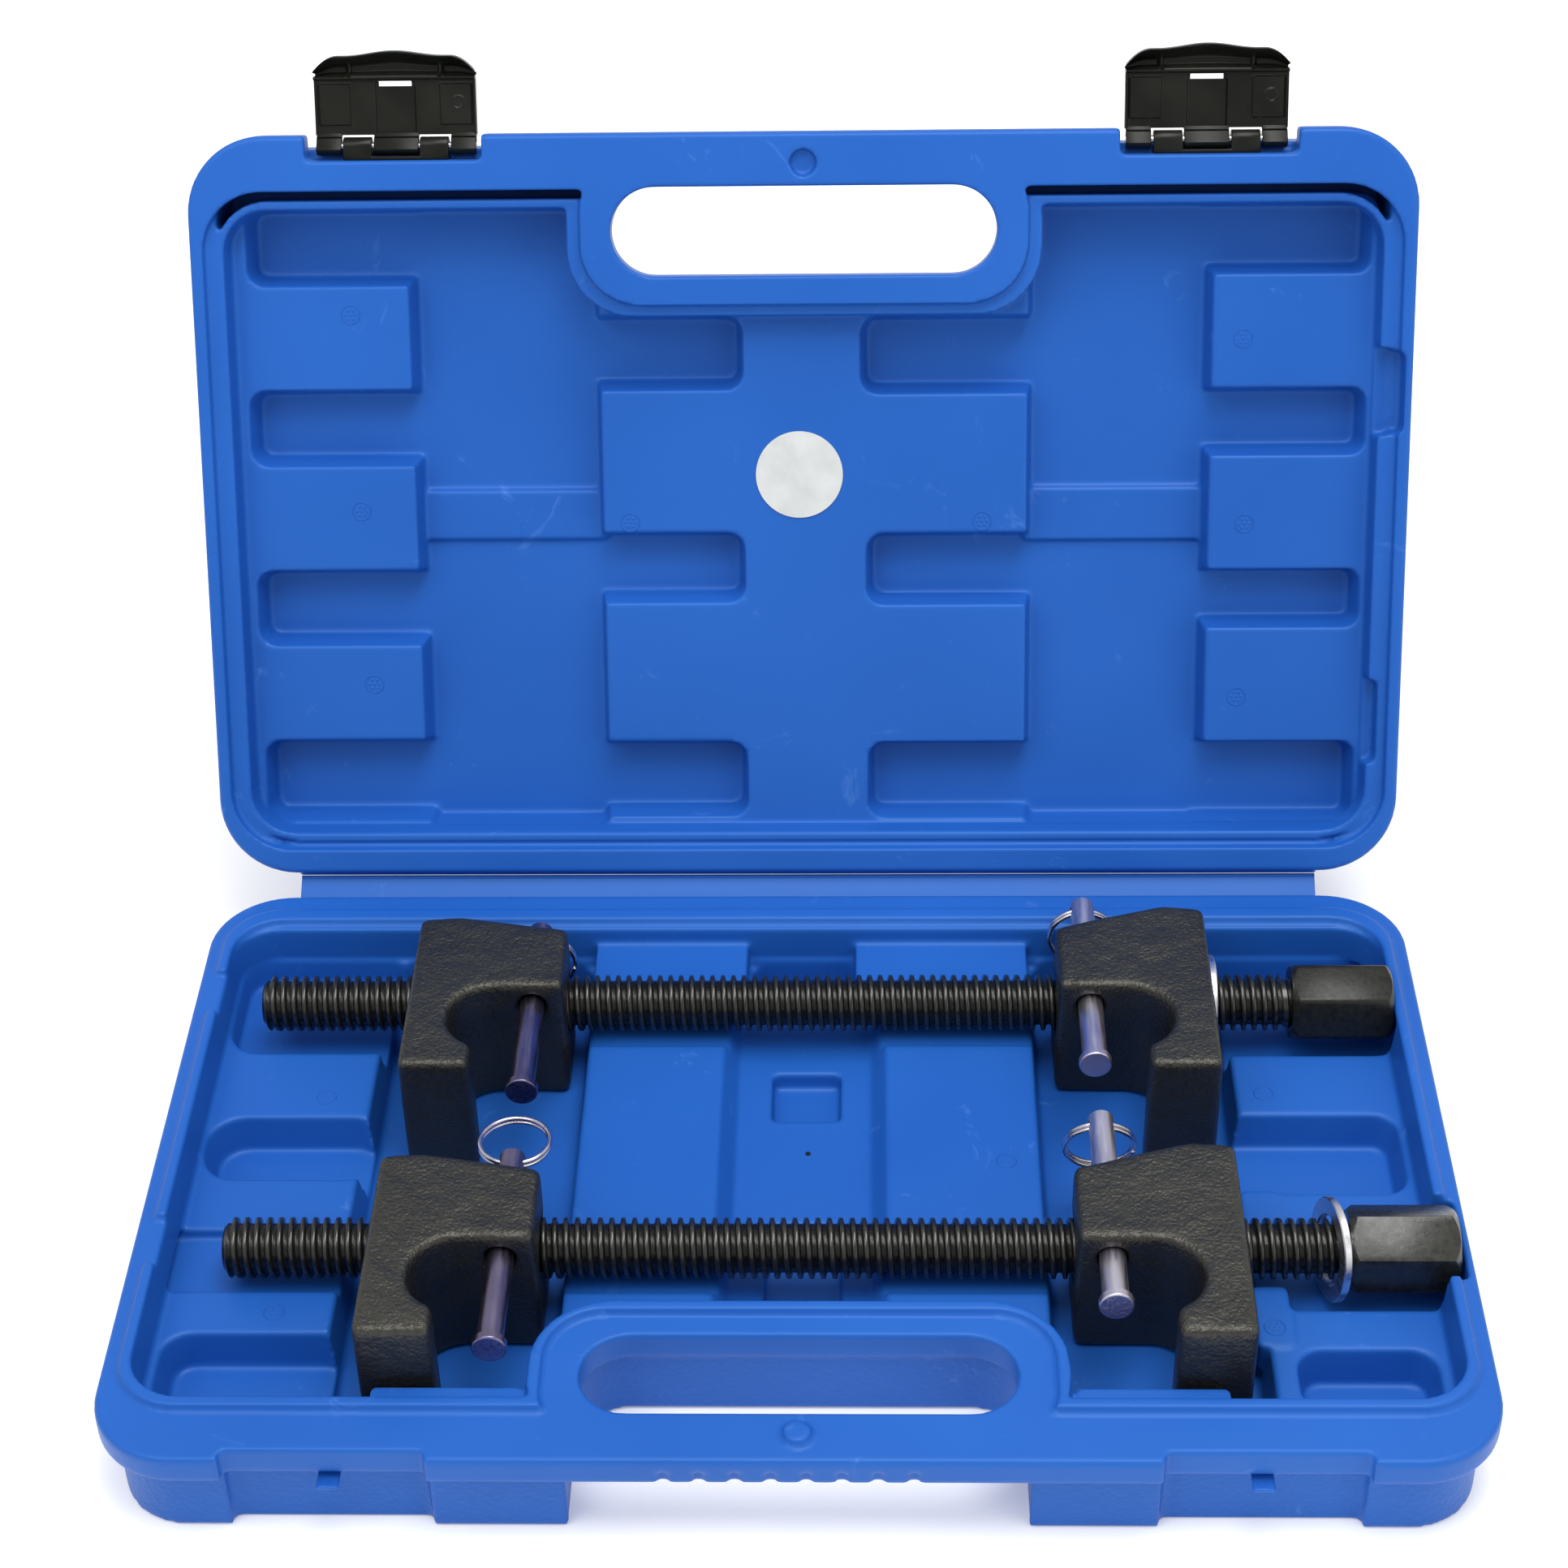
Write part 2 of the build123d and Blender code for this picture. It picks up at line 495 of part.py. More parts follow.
def make_latch_lever(latch_x):
    plate_s, plate_l, plate_t = LATCH_S + 17.4, 26.8, 3.0
    grip_s, grip_h = LATCH_S + 29.2, 8.0
    cheek_x, rib_x = 25.7, 7.2      # either side of the latch centre
    bore_over = 0.1                 # bore cut beyond each knuckle end
    lever_plane = LID_TOP.offset(LEVER_Z)
    with BuildPart() as lever:
        # plate with a raised grip lip along its free edge
        with BuildSketch(lever_plane):
            rounded_rect(LATCH_W, plate_l, 3.0, (latch_x, plate_s))
        extrude(amount=plate_t)
        with BuildSketch(lever_plane):
            rounded_rect(LATCH_W - 1.0, 3.2, 1.4, (latch_x, grip_s))
        extrude(amount=grip_h)
        # side cheeks and the two ribs of the centre channel
        with BuildSketch(lever_plane):
            rounded_rect(
                2.0, 25.0, 0.9, (latch_x - cheek_x, plate_s), (latch_x + cheek_x, plate_s)
            )
        extrude(amount=CHEEK_H)
        with BuildSketch(lever_plane):
            with Locations((latch_x - rib_x, LATCH_S + 17.8), (latch_x + rib_x, LATCH_S + 17.8)):
                Rectangle(1.4, 22.0)
        extrude(amount=CHEEK_H)
        # outer and centre knuckles: offset along X, width
        for offset_x, width in ((-22.4, 8.4), (0.0, 15.0), (22.4, 8.4)):
            knuckle_x = latch_x + offset_x - width / 2
            with BuildSketch(latch_section(knuckle_x)):
                with Locations((LATCH_S, LATCH_D)):
                    Circle(KNUCKLE_R)
                with Locations((LATCH_S + 3.0, LATCH_D - 2.0)):
                    Rectangle(6.0, 3.0)
            extrude(amount=width)
            with BuildSketch(latch_section(knuckle_x - bore_over)):
                with Locations((LATCH_S, LATCH_D)):
                    Circle(LEVER_BORE)
            extrude(amount=width + 2 * bore_over, mode=Mode.SUBTRACT)
        # window that drops over the catch
        with BuildSketch(LID_TOP.offset(LEVER_Z - 0.5)):
            rounded_rect(11.0, 2.4, 0.6, (latch_x, LATCH_S + 19.9))
        extrude(amount=12.0, mode=Mode.SUBTRACT)
    return lever.part


# ---------------------------------------------------------------- spindles
def make_spindle(start_x, axis_y, hex_turn):
    """Plain rod with a hex head at its right end."""
    end_x = start_x + ROD_LEN
    past = 0.01                          # cuts start this far beyond the hex ends
    cut_r = 15.0                         # outside the hex corners
    outer_r, outer_run = 11.0, 4.0       # chamfer on the free end
    inner_r, inner_reach = 12.2, 1.6     # chamfer on the rod end
    with BuildPart() as spindle:
        with BuildSketch(Plane.YZ.offset(start_x)):
            with Locations((axis_y, ROD_Z)):
                Circle(ROD_R)
        extrude(amount=ROD_LEN - HEX_LEN + 1)
        chamfer(spindle.faces().sort_by(Axis.X)[0].edges(), length=ROD_CHAMFER)
        with BuildSketch(Plane.YZ.offset(end_x - HEX_LEN)):
            with Locations((axis_y, ROD_Z)):
                RegularPolygon(HEX_AF / 2, 6, major_radius=False, rotation=hex_turn)
        extrude(amount=HEX_LEN)
        # turned chamfer on both ends of the hex; local x runs along the axis, local y is radius
        turning_plane = Plane(origin=(end_x, axis_y, ROD_Z), x_dir=(1, 0, 0), z_dir=(0, -1, 0))
        with BuildSketch(turning_plane):
            with BuildLine():
                Polyline((past, outer_r), (past, cut_r), (past - outer_run, cut_r), close=True)
            make_face()
            with BuildLine():
                Polyline(
                    (-HEX_LEN - past, inner_r), (-HEX_LEN - past, cut_r),
                    (-HEX_LEN + inner_reach, cut_r), close=True,
                )
            make_face()
        revolve(axis=Axis((start_x, axis_y, ROD_Z), (1, 0, 0)), mode=Mode.SUBTRACT)
    return spindle.part


# ---------------------------------------------------------------- jaws
def make_jaw(side, jaw_x, axis_y, back_ys, bore_r):
    """Jaw block with an arc notch in front.

    back_ys places the back face behind the axis: inner corner, ridge, outer corner.
    """
    inner_back, ridge_back, outer_back = back_ys
    inner_x = jaw_x - side * JAW_L / 2
    outer_x = jaw_x + side * JAW_L / 2
    ridge_x = jaw_x + side * 11.0
    nose_x = jaw_x + side * 2.0
    shoulder = (jaw_x - side * 3.0, axis_y - 18.5)    # inner end of the arc
    arc_mid = (jaw_x + side * 11.0, axis_y - 32.5)
    arc_front = (nose_x, axis_y - 45.577)
    nose_y = axis_y - 56.0
    with BuildPart() as jaw:
        with BuildSketch(Plane.XY.offset(ROD_Z - JAW_H / 2)):
            with BuildLine():
                Polyline(
                    shoulder,
                    (inner_x, axis_y - 18.5),
                    (inner_x, axis_y + inner_back),
                    (ridge_x, axis_y + ridge_back),
                    (outer_x, axis_y + outer_back),
                    (outer_x, nose_y),
                    (nose_x, nose_y),
                    arc_front,
                )
                ThreePointArc(arc_front, arc_mid, shoulder)
            make_face()
        extrude(amount=JAW_H)
        fillet(jaw.edges().filter_by(Axis.Z), radius=1.8)
        top_edges = jaw.faces().sort_by(Axis.Z)[-1].edges()
        bottom_edges = jaw.faces().sort_by(Axis.Z)[0].edges()
        fillet(top_edges + bottom_edges, radius=1.7)
        # spindle bore
        with BuildSketch(Plane.YZ.offset(jaw_x - CUT_LEN / 2)):
            with Locations((axis_y, ROD_Z)):
                Circle(bore_r)
        extrude(amount=CUT_LEN, mode=Mode.SUBTRACT)
        # locking pin bore
        with BuildSketch(Plane.XZ.offset(-(axis_y + CUT_LEN / 2))):
            with Locations((jaw_x - side * PIN_OFF, PIN_Z)):
                Circle(PIN_BORE)
        extrude(amount=CUT_LEN, mode=Mode.SUBTRACT)
    return jaw.part


# ---------------------------------------------------------------- locking pins and rings
def make_pin(pin_x, head_y):
    """Pin along Y, headed at its front end, with a cross hole near its rear end."""
    head_plane = Plane.XZ.offset(-head_y)
    with BuildPart() as pin:
        with BuildSketch(head_plane):
            with Locations((pin_x, PIN_Z)):
                Circle(PIN_HEAD_R)
        extrude(amount=-PIN_HEAD_T)
        with BuildSketch(head_plane):
            with Locations((pin_x, PIN_Z)):
                Circle(PIN_R)
        extrude(amount=-PIN_LEN)
        chamfer(pin.faces().sort_by(Axis.Y)[-1].edges(), length=0.8)
        fillet(pin.faces().sort_by(Axis.Y)[0].edges(), radius=0.6)
        with BuildSketch(Plane.YZ.offset(pin_x - PIN_HOLE_CUT / 2)):
            with Locations((head_y + PIN_LEN - PIN_HOLE_BACK, PIN_Z)):
                Circle(PIN_HOLE_R)
        extrude(amount=PIN_HOLE_CUT, mode=Mode.SUBTRACT)
    return pin.part


def make_ring(pin_x, head_y, swing):
    """Ring through the pin's cross hole, swung back by an angle from hanging straight down."""
    centre = (
        pin_x,
        head_y + PIN_LEN - PIN_HOLE_BACK + RING_REACH * sin(radians(swing)),
        PIN_Z - RING_REACH * cos(radians(swing)),
    )
    with BuildPart() as ring:
        with Locations(Location(centre, (90 + swing, 0, 0))):
            Torus(RING_R, RING_WIRE)
    return ring.part


# ---------------------------------------------------------------- thrust washers
def make_washer(washer_x, axis_y, turn, tilt, bore_r):
    """Washer facing along X, tilted about Y and then turned about Z."""
    placed = Location((washer_x, axis_y, WASH_Z), (0, 0, turn))
    with BuildPart() as washer:
        with Locations(placed * Location((0, 0, 0), (0, 90 + tilt, 0))):
            Cylinder(WASH_R, WASH_T)
            Cylinder(bore_r, WASH_T * 2, mode=Mode.SUBTRACT)
    return washer.part


# ---------------------------------------------------------------- build and write every piece
save(make_case_base(), "case_base")
save(make_case_lid(), "case_lid")
save(make_hinge_web(), "hinge_web")
save(make_blank_label(), "blank_label")

for side, side_name in ((-1, "left"), (1, "right")):
    save(make_latch_mount(side * LATCH_X), f"latch_mount_{side_name}")
    save(make_latch_pin(side * LATCH_X), f"latch_pin_{side_name}")
    save(make_latch_lever(side * LATCH_X), f"latch_{side_name}")

save(make_spindle(FRONT_X0, FRONT_Y, hex_turn=30), "spindle_front")
save(make_spindle(REAR_X0, REAR_Y, hex_turn=17), "spindle_rear")

for row, axis_y in (("front", FRONT_Y), ("rear", REAR_Y)):
    threaded = make_jaw(-1, LEFT_X, axis_y, back_ys=(10.8, 17.5, 16.5), bore_r=BORE_THREAD)
    save(threaded, f"threaded_jaw_{row}")
    sliding = make_jaw(1, RIGHT_X, axis_y, back_ys=(11.5, 22.5, 21.0), bore_r=BORE_FREE)
    save(sliding, f"sliding_jaw_{row}")

# place, pin axis x, y of the head's front face, swing of the ring
PINS = [
    ("front_left", LEFT_X + PIN_OFF, -93.5, 86.0),
    ("front_right", RIGHT_X - PIN_OFF, -76.5, 12.0),
    ("rear_left", LEFT_X + PIN_OFF, 15.0, 0.0),
    ("rear_right", RIGHT_X - PIN_OFF, 27.5, 0.0),
]
for place, pin_x, head_y, swing in PINS:
    save(make_pin(pin_x, head_y), f"pin_{place}")
    save(make_ring(pin_x, head_y, swing), f"ring_{place}")

save(make_washer(162.0, FRONT_Y, turn=10, tilt=5, bore_r=10.7), "washer_front")
save(make_washer(135.05, REAR_Y, turn=0, tilt=0, bore_r=10.2), "washer_rear")
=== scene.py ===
"""Blue moulded case lying open on the floor, holding two threaded spindles with forged jaws.

Metres, +Z up. The spindles run along X; the front row is at -Y and the rear row at +Y.
The base rests on z = 0 and the lid leans back from a hinge along its +Y edge.
"""

import bpy
import bmesh
import numpy as np
from math import cos, hypot, pi, radians, sin, tan
from mathutils import Matrix, Vector, noise


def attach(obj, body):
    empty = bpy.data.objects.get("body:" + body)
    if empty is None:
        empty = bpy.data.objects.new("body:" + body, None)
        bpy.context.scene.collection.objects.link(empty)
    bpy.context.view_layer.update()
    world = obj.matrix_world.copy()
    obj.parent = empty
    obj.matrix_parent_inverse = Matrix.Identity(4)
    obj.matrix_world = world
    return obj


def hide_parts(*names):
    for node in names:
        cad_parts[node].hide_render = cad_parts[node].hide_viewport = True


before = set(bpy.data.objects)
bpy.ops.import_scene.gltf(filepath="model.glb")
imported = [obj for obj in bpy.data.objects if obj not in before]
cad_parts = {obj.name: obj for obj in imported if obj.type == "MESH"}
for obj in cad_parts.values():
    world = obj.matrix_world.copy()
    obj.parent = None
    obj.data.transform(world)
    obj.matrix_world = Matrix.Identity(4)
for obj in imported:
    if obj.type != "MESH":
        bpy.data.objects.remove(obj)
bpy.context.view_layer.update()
scene = bpy.context.scene

# ------------------------------------------------------------------ shared sizes
ROD_Z = 0.030
ROD_R = 0.0093
ROW_Y = {"front": -0.039, "rear": 0.074}
PIN_X = {"left": -0.0885, "right": 0.0940}
PIN_Z = ROD_Z + 0.0143

HALF_H = 0.034      # height of one case half
HALF_D = 0.12615    # half of the base depth
OPEN = radians(113.3)
HINGE_OUT = 0.0025  # hinge line beyond the wall
HINGE_DROP = 0.004  # hinge line below the rim
STRIP = 0.008       # hinge strip between its two fold lines

# The strip leaves the base at STRIP_START, along STRIP_ALONG, which halves the opening angle.
STRIP_START = (HALF_D + HINGE_OUT, HALF_H - HINGE_DROP)  # y, z
STRIP_ALONG = Vector((0, sin(OPEN / 2), cos(OPEN / 2)))
STRIP_NORMAL = Vector((0, -cos(OPEN / 2), sin(OPEN / 2)))
LID_Y = (STRIP_START[0] + STRIP * sin(OPEN / 2)
         - HINGE_OUT * cos(OPEN) - HINGE_DROP * sin(OPEN))
LID_Z = (STRIP_START[1] + STRIP * cos(OPEN / 2)
         + HINGE_OUT * sin(OPEN) - HINGE_DROP * cos(OPEN))
# Lid frame: y runs from the hinge to the free edge, z = 0 is the rim, the lid is at z < 0.
LID = Matrix(((1, 0, 0, 0),
              (0, -cos(OPEN), -sin(OPEN), LID_Y),
              (0, sin(OPEN), -cos(OPEN), LID_Z),
              (0, 0, 0, 1)))


# ------------------------------------------------------------------ material tools
class Surface:
    """A Principled material whose textures follow object coordinates."""

    def __init__(self, name):
        self.material = bpy.data.materials.new(name)
        self.material.use_nodes = True
        self.tree = self.material.node_tree
        self.shader = self.tree.nodes["Principled BSDF"]
        self.coords = self.tree.nodes.new("ShaderNodeTexCoord").outputs["Object"]

    def feed(self, socket, value):
        if isinstance(value, bpy.types.NodeSocket):
            self.tree.links.new(value, socket)
        else:
            socket.default_value = value

    def shade(self, inputs):
        for name, value in inputs.items():
            self.feed(self.shader.inputs[name], value)

    def noise(self, scale, detail, roughness=0.5, distortion=0.0, vector=None):
        texture = self.tree.nodes.new("ShaderNodeTexNoise")
        texture.inputs["Scale"].default_value = scale
        texture.inputs["Detail"].default_value = detail
        texture.inputs["Roughness"].default_value = roughness
        texture.inputs["Distortion"].default_value = distortion
        self.feed(texture.inputs["Vector"], vector or self.coords)
        return texture.outputs["Fac"]

    def ramp(self, source, low, high):
        """Each stop is (position, colour); a plain number stands for a grey."""
        node = self.tree.nodes.new("ShaderNodeValToRGB")
        for element, (position, colour) in zip(node.color_ramp.elements, (low, high)):
            element.position = position
            element.color = colour if isinstance(colour, tuple) else (colour,) * 3 + (1,)
        self.feed(node.inputs["Fac"], source)
        return node.outputs["Color"]

    def math(self, operation, a, b):
        node = self.tree.nodes.new("ShaderNodeMath")
        node.operation = operation
        self.feed(node.inputs[0], a)
        self.feed(node.inputs[1], b)
        return node.outputs[0]

    def mix(self, factor, a, b):
        node = self.tree.nodes.new("ShaderNodeMix")
        node.data_type = "RGBA"
        # 0 is the plain factor; 6, 7 and output 2 are the colour sockets
        for index, value in ((0, factor), (6, a), (7, b)):
            self.feed(node.inputs[index], value)
        return node.outputs[2]

    def bump(self, height, strength, distance):
        node = self.tree.nodes.new("ShaderNodeBump")
        node.inputs["Strength"].default_value = strength
        node.inputs["Distance"].default_value = distance
        self.feed(node.inputs["Height"], height)
        self.shade({"Normal": node.outputs["Normal"]})


# ------------------------------------------------------------------ materials
def blue_shell(name, grained):
    """Blow-moulded polyethylene with blotches and scuffs; grained adds a leather pattern."""
    s = Surface(name)
    blotch = s.noise(scale=9.0, detail=2.0, roughness=0.6)
    base = s.ramp(blotch, (0.25, (0.0105, 0.088, 0.395, 1)), (0.75, (0.0150, 0.108, 0.455, 1)))
    scuff_noise = s.noise(scale=30.0, detail=4.0, roughness=0.8, distortion=1.6)
    scuff = s.ramp(scuff_noise, (0.64, 0), (0.74, 1))
    s.shade({
        "Base Color": s.mix(s.math("MULTIPLY", scuff, 0.22), base, (0.13, 0.30, 0.74, 1)),
        "Roughness": s.ramp(blotch, (0.2, 0.36), (0.8, 0.47)),
        "Specular IOR Level": 0.32,
        "Specular Tint": (0.62, 0.86, 1.0, 1),
    })
    fine = s.noise(scale=700.0, detail=1.0)
    wavy = s.noise(scale=40.0, detail=1.0)
    height = s.math("ADD", s.math("MULTIPLY", fine, 0.05), wavy)
    if grained:
        cells = s.tree.nodes.new("ShaderNodeTexVoronoi")
        cells.inputs["Scale"].default_value = 560.0
        s.feed(cells.inputs["Vector"], s.coords)
        height = s.math("ADD", s.math("MULTIPLY", cells.outputs["Distance"], 0.42), height)
    s.bump(height, strength=0.30, distance=0.0012)
    return s.material


def forged_black():
    """Black forging whose convex edges go greyer: partly wear, partly a painted edge highlight."""
    s = Surface("forged_black")
    fine = s.noise(scale=900.0, detail=2.0)
    broad = s.noise(scale=32.0, detail=4.0)
    base = s.ramp(broad, (0.3, (0.0080, 0.0080, 0.0068, 1)), (0.7, (0.0150, 0.0150, 0.0125, 1)))
    geometry = s.tree.nodes.new("ShaderNodeNewGeometry")
    # greyer convex edges: partly wear, partly a painted highlight along the edges
    edge = s.ramp(geometry.outputs["Pointiness"], (0.52, 0), (0.60, 1))
    spots = s.ramp(s.noise(scale=160.0, detail=4.0), (0.45, 0), (0.70, 1))
    wear_and_painted_highlight = s.math("MULTIPLY", s.math("MULTIPLY", edge, spots), 0.85)
    s.shade({
        "Base Color": s.mix(wear_and_painted_highlight, base, (0.10, 0.102, 0.095, 1)),
        "Roughness": s.ramp(fine, (0.3, 0.30), (0.7, 0.48)),
        "Specular IOR Level": 0.62,
        "Specular Tint": (1.0, 0.97, 0.86, 1),
    })
    lumps = s.noise(scale=110.0, detail=2.0)
    s.bump(s.math("ADD", s.math("MULTIPLY", fine, 0.55), lumps), strength=0.9, distance=0.0009)
    return s.material


def oiled(name, roughness, tint, scale, specular):
    """Dark oiled steel; the blotches reach 1.9 times the tint."""
    s = Surface(name)
    blotch = s.noise(scale=scale, detail=4.0, roughness=0.6)
    bright = tuple(channel * 1.9 for channel in tint) + (1,)
    s.shade({
        "Base Color": s.ramp(blotch, (0.3, tint + (1,)), (0.7, bright)),
        "Metallic": 0.2,
        "Specular IOR Level": specular,
        "Roughness": s.ramp(blotch, (0.3, roughness - 0.08), (0.7, roughness + 0.12)),
        "Coat Weight": 0.4 * specular,
        "Coat Roughness": 0.22,
    })
    s.bump(blotch, strength=0.30, distance=0.0003)
    return s.material


def zinc(name, dark, light, roughness):
    """Zinc plate with cloudy colour and a fine grain drawn out along Y."""
    s = Surface(name)
    cloud = s.noise(scale=38.0, detail=2.0, distortion=0.3)
    s.shade({"Base Color": s.ramp(cloud, (0.30, dark + (1,)), (0.72, light + (1,))),
             "Metallic": 1.0})
    stretch = s.tree.nodes.new("ShaderNodeMapping")
    stretch.inputs["Scale"].default_value = (900, 90, 900)
    s.feed(stretch.inputs["Vector"], s.coords)
    grain = s.noise(scale=1.0, detail=3.0, vector=stretch.outputs[0])
    s.shade({"Roughness": s.ramp(grain, (0.3, roughness - 0.06), (0.7, roughness + 0.10))})
    s.bump(grain, strength=0.05, distance=0.00005)
    return s.material


def latch_plastic():
    s = Surface("latch_plastic")
    blotch = s.noise(scale=60.0, detail=4.0)
    s.shade({
        "Base Color": s.ramp(blotch, (0.3, (0.0045, 0.0052, 0.0036, 1)),
                             (0.7, (0.0095, 0.0105, 0.0074, 1))),
        "Roughness": s.ramp(blotch, (0.3, 0.24), (0.7, 0.36)),
        "Specular IOR Level": 0.20,
    })
    s.bump(s.noise(scale=900.0, detail=2.0), strength=0.08, distance=0.0002)
    return s.material


def label_film():
    s = Surface("label_film")
    blotch = s.noise(scale=120.0, detail=3.0)
    s.shade({
        "Base Color": s.ramp(blotch, (0.3, (0.56, 0.58, 0.57, 1)), (0.7, (0.66, 0.68, 0.67, 1))),
        "Roughness": 0.32,
        "Metallic": 0.15,
    })
    s.bump(blotch, strength=0.05, distance=0.0002)
    return s.material


BLUE = blue_shell("moulded_blue", grained=False)
BLUE_GRAINED = blue_shell("moulded_blue_grained", grained=True)
FORGED = forged_black()
THREAD = oiled("oiled_thread", roughness=0.24, tint=(0.0080, 0.0080, 0.0068),
               scale=240.0, specular=0.62)
HEX = {
    "front": oiled("oiled_hex", roughness=0.30, tint=(0.0105, 0.0108, 0.0080),
                   scale=520.0, specular=0.55),
    # rear hex: the same oiled steel with a darker tint and weaker specular, painted shade
    "rear": oiled("oiled_hex_rear_painted_shade", roughness=0.34, tint=(0.0070, 0.0072, 0.0052),
                  scale=520.0, specular=0.32),
}
PIN = {
    "right": zinc("zinc_violet", dark=(0.50, 0.44, 0.60), light=(0.68, 0.66, 0.70),
                  roughness=0.36),
    # left pins: the same violet zinc painted darker, painted shade
    "left": zinc("zinc_violet_painted_shade", dark=(0.13, 0.11, 0.20), light=(0.26, 0.23, 0.34),
                 roughness=0.30),
}
RING = zinc("zinc_ring", dark=(0.50, 0.46, 0.58), light=(0.70, 0.69, 0.72), roughness=0.22)
ZINC = zinc("zinc_plain", dark=(0.58, 0.57, 0.62), light=(0.78, 0.78, 0.80), roughness=0.30)
PLASTIC = latch_plastic()
LABEL = label_film()


# ------------------------------------------------------------------ mesh tools
def smooth_step(value, start, end):
    t = min(1.0, max(0.0, (value - start) / (end - start)))
    return t * t * (3 - 2 * t)


def register(obj, body, replaced=None):
    """Tell the frame which body carries the piece and the CAD node it replaces."""
    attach(obj, body)
    if replaced:
        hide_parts(replaced)


def set_material(mesh, material):
    mesh.materials.clear()
    mesh.materials.append(material)


def shade_smooth(mesh):
    mesh.polygons.foreach_set("use_smooth", [True] * len(mesh.polygons))


def add_mesh(name, verts, faces, material):
    mesh = bpy.data.meshes.new(name)
    mesh.from_pydata([tuple(v) for v in verts], [], faces)
    mesh.update()
    shade_smooth(mesh)
    obj = bpy.data.objects.new(name, mesh)
    scene.collection.objects.link(obj)
    mesh.materials.append(material)
    return obj


def tube_faces(rings, per_ring, start=0):
    """Quads joining successive closed rings of vertices."""
    faces = []
    for k in range(rings - 1):
        near = start + k * per_ring
        far = near + per_ring
        for i in range(per_ring):
            j = (i + 1) % per_ring
            faces.append((near + i, near + j, far + j, far + i))
    return faces


def tidy(obj, weld=False, sharp=None):
    """Turn the faces outward; weld joins coincident points, sharp is an edge angle in degrees."""
    bm = bmesh.new()
    bm.from_mesh(obj.data)
    if weld:
        bmesh.ops.remove_doubles(bm, verts=bm.verts, dist=1e-7)
    bmesh.ops.recalc_face_normals(bm, faces=bm.faces)
    bm.to_mesh(obj.data)
    bm.free()
    if sharp:
        obj.data.set_sharp_from_angle(angle=radians(sharp))


def connected_groups(bm):
    seen = set()
    groups = []
    for vert in bm.verts:
        if vert.index in seen:
            continue
        seen.add(vert.index)
        stack = [vert]
        group = []
        while stack:
            current = stack.pop()
            group.append(current)
            for edge in current.link_edges:
                other = edge.other_vert(current)
                if other.index not in seen:
                    seen.add(other.index)
                    stack.append(other)
        groups.append(group)
    return groups


def box_volume(group):
    points = np.array([vert.co for vert in group])
    return np.prod(points.max(0) - points.min(0) + 1e-6)


def cad_copy(node_name, name, drop_inner=False):
    """A welded copy of a CAD node's mesh; drop_inner keeps only its largest connected skin."""
    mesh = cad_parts[node_name].data.copy()
    mesh.name = name
    obj = bpy.data.objects.new(name, mesh)
    scene.collection.objects.link(obj)
    bm = bmesh.new()
    bm.from_mesh(mesh)
    bmesh.ops.remove_doubles(bm, verts=bm.verts, dist=1e-6)
    if drop_inner:
        groups = sorted(connected_groups(bm), key=box_volume, reverse=True)
        inner = [vert for group in groups[1:] for vert in group]
        bmesh.ops.delete(bm, geom=inner, context="VERTS")
    bm.to_mesh(mesh)
    bm.free()
    mesh.materials.clear()
    return obj


def apply_modifiers(obj):
    depsgraph = bpy.context.evaluated_depsgraph_get()
    mesh = bpy.data.meshes.new_from_object(obj.evaluated_get(depsgraph))
    obj.modifiers.clear()
    obj.data = mesh


def soften(obj, voxel, passes, material):
    """Remesh on a fine grid, then smooth, which rounds every moulded or forged edge."""
    grid = obj.modifiers.new("grid", "REMESH")
    grid.mode = "VOXEL"
    grid.voxel_size = voxel
    grid.use_smooth_shade = True
    soft = obj.modifiers.new("soft", "SMOOTH")
    soft.factor = 0.5
    soft.iterations = passes
    apply_modifiers(obj)
    shade_smooth(obj.data)
    set_material(obj.data, material)


def read_vectors(items, attribute):
    values = np.zeros(len(items) * 3)
    items.foreach_get(attribute, values)
    return values.reshape(-1, 3)


def write_points(mesh, points):
    mesh.vertices.foreach_set("co", points.ravel())
    mesh.update()


def transformed(points, matrix):
    m = np.array(matrix)
    return points @ m[:3, :3].T + m[:3, 3]


# ------------------------------------------------------------------ case halves
CASE_VOXEL = 0.0008
CASE_PASSES = 7
RIM_GAP = 0.00012  # the flattened rims stop this far short of the parting plane
# Boxes whose faces carry the grain: x0, x1, y0, y1, z0, z1.
BASE_GRAIN = [
    (-0.21, -0.110, -0.13, -0.104, -0.001, 0.0225),
    (0.110, 0.21, -0.13, -0.104, -0.001, 0.0225),
    (-0.110, -0.066, -0.13, -0.104, -0.001, 0.0225),
    (0.066, 0.110, -0.13, -0.104, -0.001, 0.0225),
    (-0.21, -0.1975, -0.13, 0.13, -0.001, 0.0225),
    (0.1975, 0.21, -0.13, 0.13, -0.001, 0.0225),
    (-0.067, 0.069, -0.0790, -0.0735, -0.001, 0.0236),
    (-0.21, 0.21, 0.120, 0.13, -0.001, 0.0225),
]
# The same, in the lid frame.
LID_GRAIN = [
    (-0.21, 0.21, -0.005, 0.26, -0.040, -0.0318),
    (-0.21, -0.1975, -0.005, 0.26, -0.032, -0.0112),
    (0.1975, 0.21, -0.005, 0.26, -0.032, -0.0112),
]


def grain_faces(mesh, centres, boxes):
    """Give material slot 1 to the faces whose centres lie in a box."""
    mesh.materials.append(BLUE_GRAINED)
    inside = np.zeros(len(centres), bool)
    for box in boxes:
        low, high = np.array(box[0::2]), np.array(box[1::2])
        inside |= ((centres > low) & (centres < high)).all(axis=1)
    mesh.polygons.foreach_set("material_index", inside.astype(np.int32))


